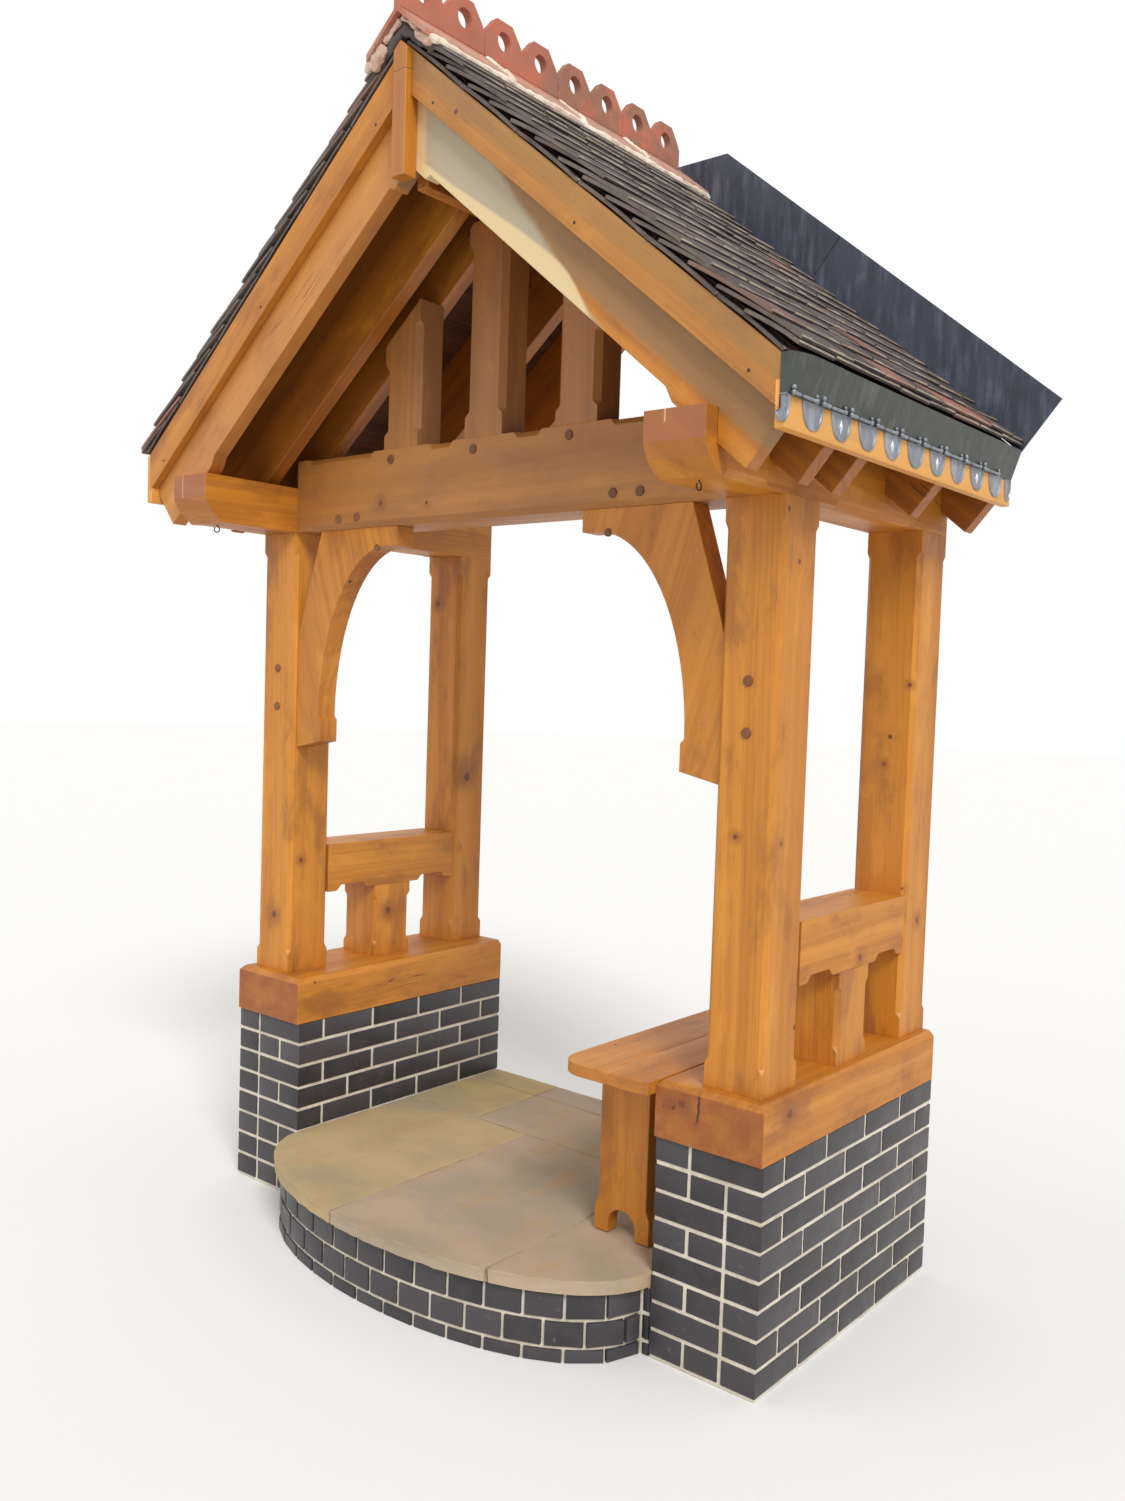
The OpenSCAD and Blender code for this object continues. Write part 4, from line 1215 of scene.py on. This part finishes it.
def bent_drop(wide=0.027, tall=0.060, corner=0.005):
    """The drop that is bent round the corner: its points are laid along the front and then the side."""
    points, faces = drop_pattern(wide, tall)
    bent = []
    for p in points:
        t = p.y - corner
        x, y = LEAD_X - 0.004 + p.x, LEAD_Y + t
        if t < 0:
            x, y = LEAD_X + t, LEAD_Y + 0.004 - p.x
            if x < BARGE_END and LEAD_Z + p.z > BARGE_FOOT:
                x = BARGE_END
        bent.append(vec(x, y, LEAD_Z + p.z))
    return bent, faces


drop, ball = drop_pattern(0.047, 0.060), ball_pattern(0.0062)
kite = [Vector(p) for p in ((0, 0.009, 0), (0, 0, 0.017), (0, -0.009, 0), (0, 0, -0.017))]
lozenge = raised(kite, 0, [(1.0, 0.0), (0.94, 0.0014), (0.7, 0.0014), (0.55, 0.0032), (0.12, 0.0044)])
print("a drop has", len(drop[0]), "points and a lozenge", len(lozenge[0]))

# %% [markdown]
# ## The lead eaves trim
# Along each eaves an apron of lead hangs over the fascia and leans out to the tiles. On the right it is
# folded round the front corner as far as the bargeboard; on the left it starts behind the board. About
# 1.1 m from the wall one length laps over the next. Short rods run between beads from drop to drop.

# %% Hang the eaves lead
def apron_grid(side, path, rows=9):
    """Rows of points of the apron over a path of lower and upper places, turned to face outward."""
    grid = []
    for j in range(rows + 1):
        v = j / rows
        row = [vec(side * (x0 + (x1 - x0) * v), y, LEAD_Z - 0.001 + (LEAD_TOP - LEAD_Z) * v) for x0, x1, y in path]
        grid.append(row if side > 0 else row[::-1])
    return grid


for side, hand in HANDS:
    apron, trim = Heap(), Heap()
    front = [(BARGE_END + (LEAD_X - 0.003 - BARGE_END) * i / 6, BARGE_END + (NIP - 0.003 - BARGE_END) * i / 6,
              LEAD_Y + 0.0005) for i in range(7)] + [(LEAD_X - 0.001, NIP - 0.001, LEAD_Y + 0.001)]
    flank = [(LEAD_X, LEAD_OUT + (NIP - LEAD_OUT) * max(0, 1 - i / 7) ** 2,
              LEAD_Y + 0.004 + (LAP_Y - LEAD_Y) * i / 18) for i in range(19)]
    rest = [(LEAD_X - 0.002, LEAD_OUT - 0.002, LAP_Y - 0.02 + (-0.004 - LAP_Y + 0.02) * i / 90) for i in range(91)]
    folded = front + flank if side > 0 else flank[3:]
    apron.add(sheet(apron_grid(side, folded), 0.0020, 0.0016, 5, 11.0), tone=0)
    apron.add(sheet(apron_grid(side, rest), 0.0018, 0.0011, 6, 9.0), tone=0)
    apron.piece("lead_apron" + hand, eaves_lead, "lead", "eaves_lead" + hand)
    turn = Matrix.Identity(4) if side > 0 else spin(pi, 4, "Z")
    if side > 0:
        trim.add(bent_drop())
    for k in range(-1, 9):
        y = DROP_FIRST - DROP_GAUGE * k
        whole = y < -0.05
        hang = shift((side * (LEAD_X - 0.004), min(y, -0.026), LEAD_Z)) @ turn
        trim.add(drop, hang @ Matrix.Diagonal((1, 1 if whole else 0.5, 1, 1)))
        if not whole:
            continue
        if k % 2:
            # the lozenge's tone of 1.0 gives it a painted highlight
            trim.add(lozenge, hang @ shift((0.0004, 0, -0.027)), 1.0)
        bar = vec(side * (LEAD_X + 0.0062), y, LEAD_Z + 0.004)
        tip = bar - Y * 0.102
        trim.add(rope(line_of(bar, bar.lerp(tip, 0.62), 0.006), 0.0038, 0.0038, Z, k, 8, 0.12, 60), tone=0.9)
        trim.add(rope(line_of(bar.lerp(tip, 0.66), tip, 0.006), 0.0044, 0.0044, Z, k + 9, 8, 0.12, 60), tone=0.9)
        for at, scale in ((bar, 1), (tip, 1), (tip + Z * 0.0115, 1), (bar + Z * 0.0100, 0.7)):
            trim.add(ball, shift(at) @ Matrix.Scale(scale, 4), 0.9)
    trim.piece("lead_drops" + hand, drop_lead, "lead", "eaves_lead" + hand)

# %% [markdown]
# ## Oak pegs
# Oak pegs are driven through the joints and left a few millimetres proud, with dark end grain. One
# turned shape serves for all, each turned a little about its axis.

# %% Drive the pegs
def turned(profile, sides=20):
    """A turned shape about Y from pairs of radius and height, closed at both ends."""
    bm = bmesh.new()
    angles = [2 * pi * k / sides for k in range(sides)]
    rings = [[bm.verts.new((r * cos(a), -h, r * sin(a))) for a in angles] for r, h in profile]
    return pattern_of(tube(bm, rings))


f = Finish("peg_ends")
fine = f.noise(380, 3, 0.7)
f.shade = f.blend(f.tone(), rgb(132, 82, 44), rgb(104, 62, 34))
f.wash(fine, 0.45, 0.7, 0.6, 70, 42, 24)
peg_ends = f.done(0.6, f.bump(fine, 0.001, 0.6))
peg = turned([(0.0140, -0.006), (0.0140, 0.0028), (0.0128, 0.0042), (0.008, 0.0050)])
frame_front, brace_front = span_of("tie_beam")[0].y, span_of("brace_right")[0].y
heap = Heap()
for x, z in [(-0.395, 2.467), (-0.037, 2.466), (0.332, 2.471), (-0.640, 2.294), (-0.550, 2.297), (0.493, 2.299),
             (0.584, 2.298), (-0.942, 1.801), (-0.942, 1.670), (0.942, 1.801), (0.942, 1.670)]:
    heap.add(peg, shift((x, frame_front, z)) @ spin(rng.uniform(0, 1), 4, "Y"), rng.random())
for x in (0.468, -0.468):
    heap.add(peg, shift((x, brace_front, 2.196)) @ Matrix.Scale(0.8, 4), rng.random())
heap.piece("pegs", peg_ends, "oak")

# %% [markdown]
# ## Screws and eyes
# The gable boards are held by sunk screws, which are turned like the pegs. A small steel eye hangs
# under each plate end, and a smooth rope along its line makes its shank and its ring.

# %% Set the screws and eyes
f = Finish("dark_steel")
scratch = f.noise(300, 3, 0.6)
f.shade = f.blend(f.span(scratch, 0.4, 0.7), rgb(70, 66, 64), rgb(40, 36, 34))
dark_steel = f.done(0.45, f.bump(scratch, 0.0004, 0.5), Metallic=0.7)
SCREW_BELOW, EYE_X, EYE_Y = 0.0955, 0.944, -1.223
screw = turned([(0.0042, -0.004), (0.0042, 0.0003), (0.0034, 0.0008), (0.0012, 0.0002)], 14)
gable_front = span_of("bargeboard_right")[0].y
heap = Heap()
for x in (0.112, 0.614, 1.121):
    for side in (1, -1):
        heap.add(screw, shift((side * x, gable_front, RAFTER_TOP - TAN * x - SCREW_BELOW)))
angles = [t * pi / 8 for t in range(-4, 11)]
shank = [vec(0, 0, 0.004 - 0.003 * i) for i in range(4)]
ring = [vec(0, 0.010 * cos(a), -0.014 - 0.010 * sin(a)) for a in angles]
for side in (1, -1):
    eye = vec(side * EYE_X, EYE_Y, span_of("wall_plate_right")[0].z)
    heap.add(rope([eye + p for p in shank], 0.0022, 0.0022, Y, 1, 8, 0.0))
    heap.add(rope([eye + p for p in ring], 0.0020, 0.0020, X, 2, 8, 0.0))
heap.piece("screws_and_eyes", dark_steel, "lead")
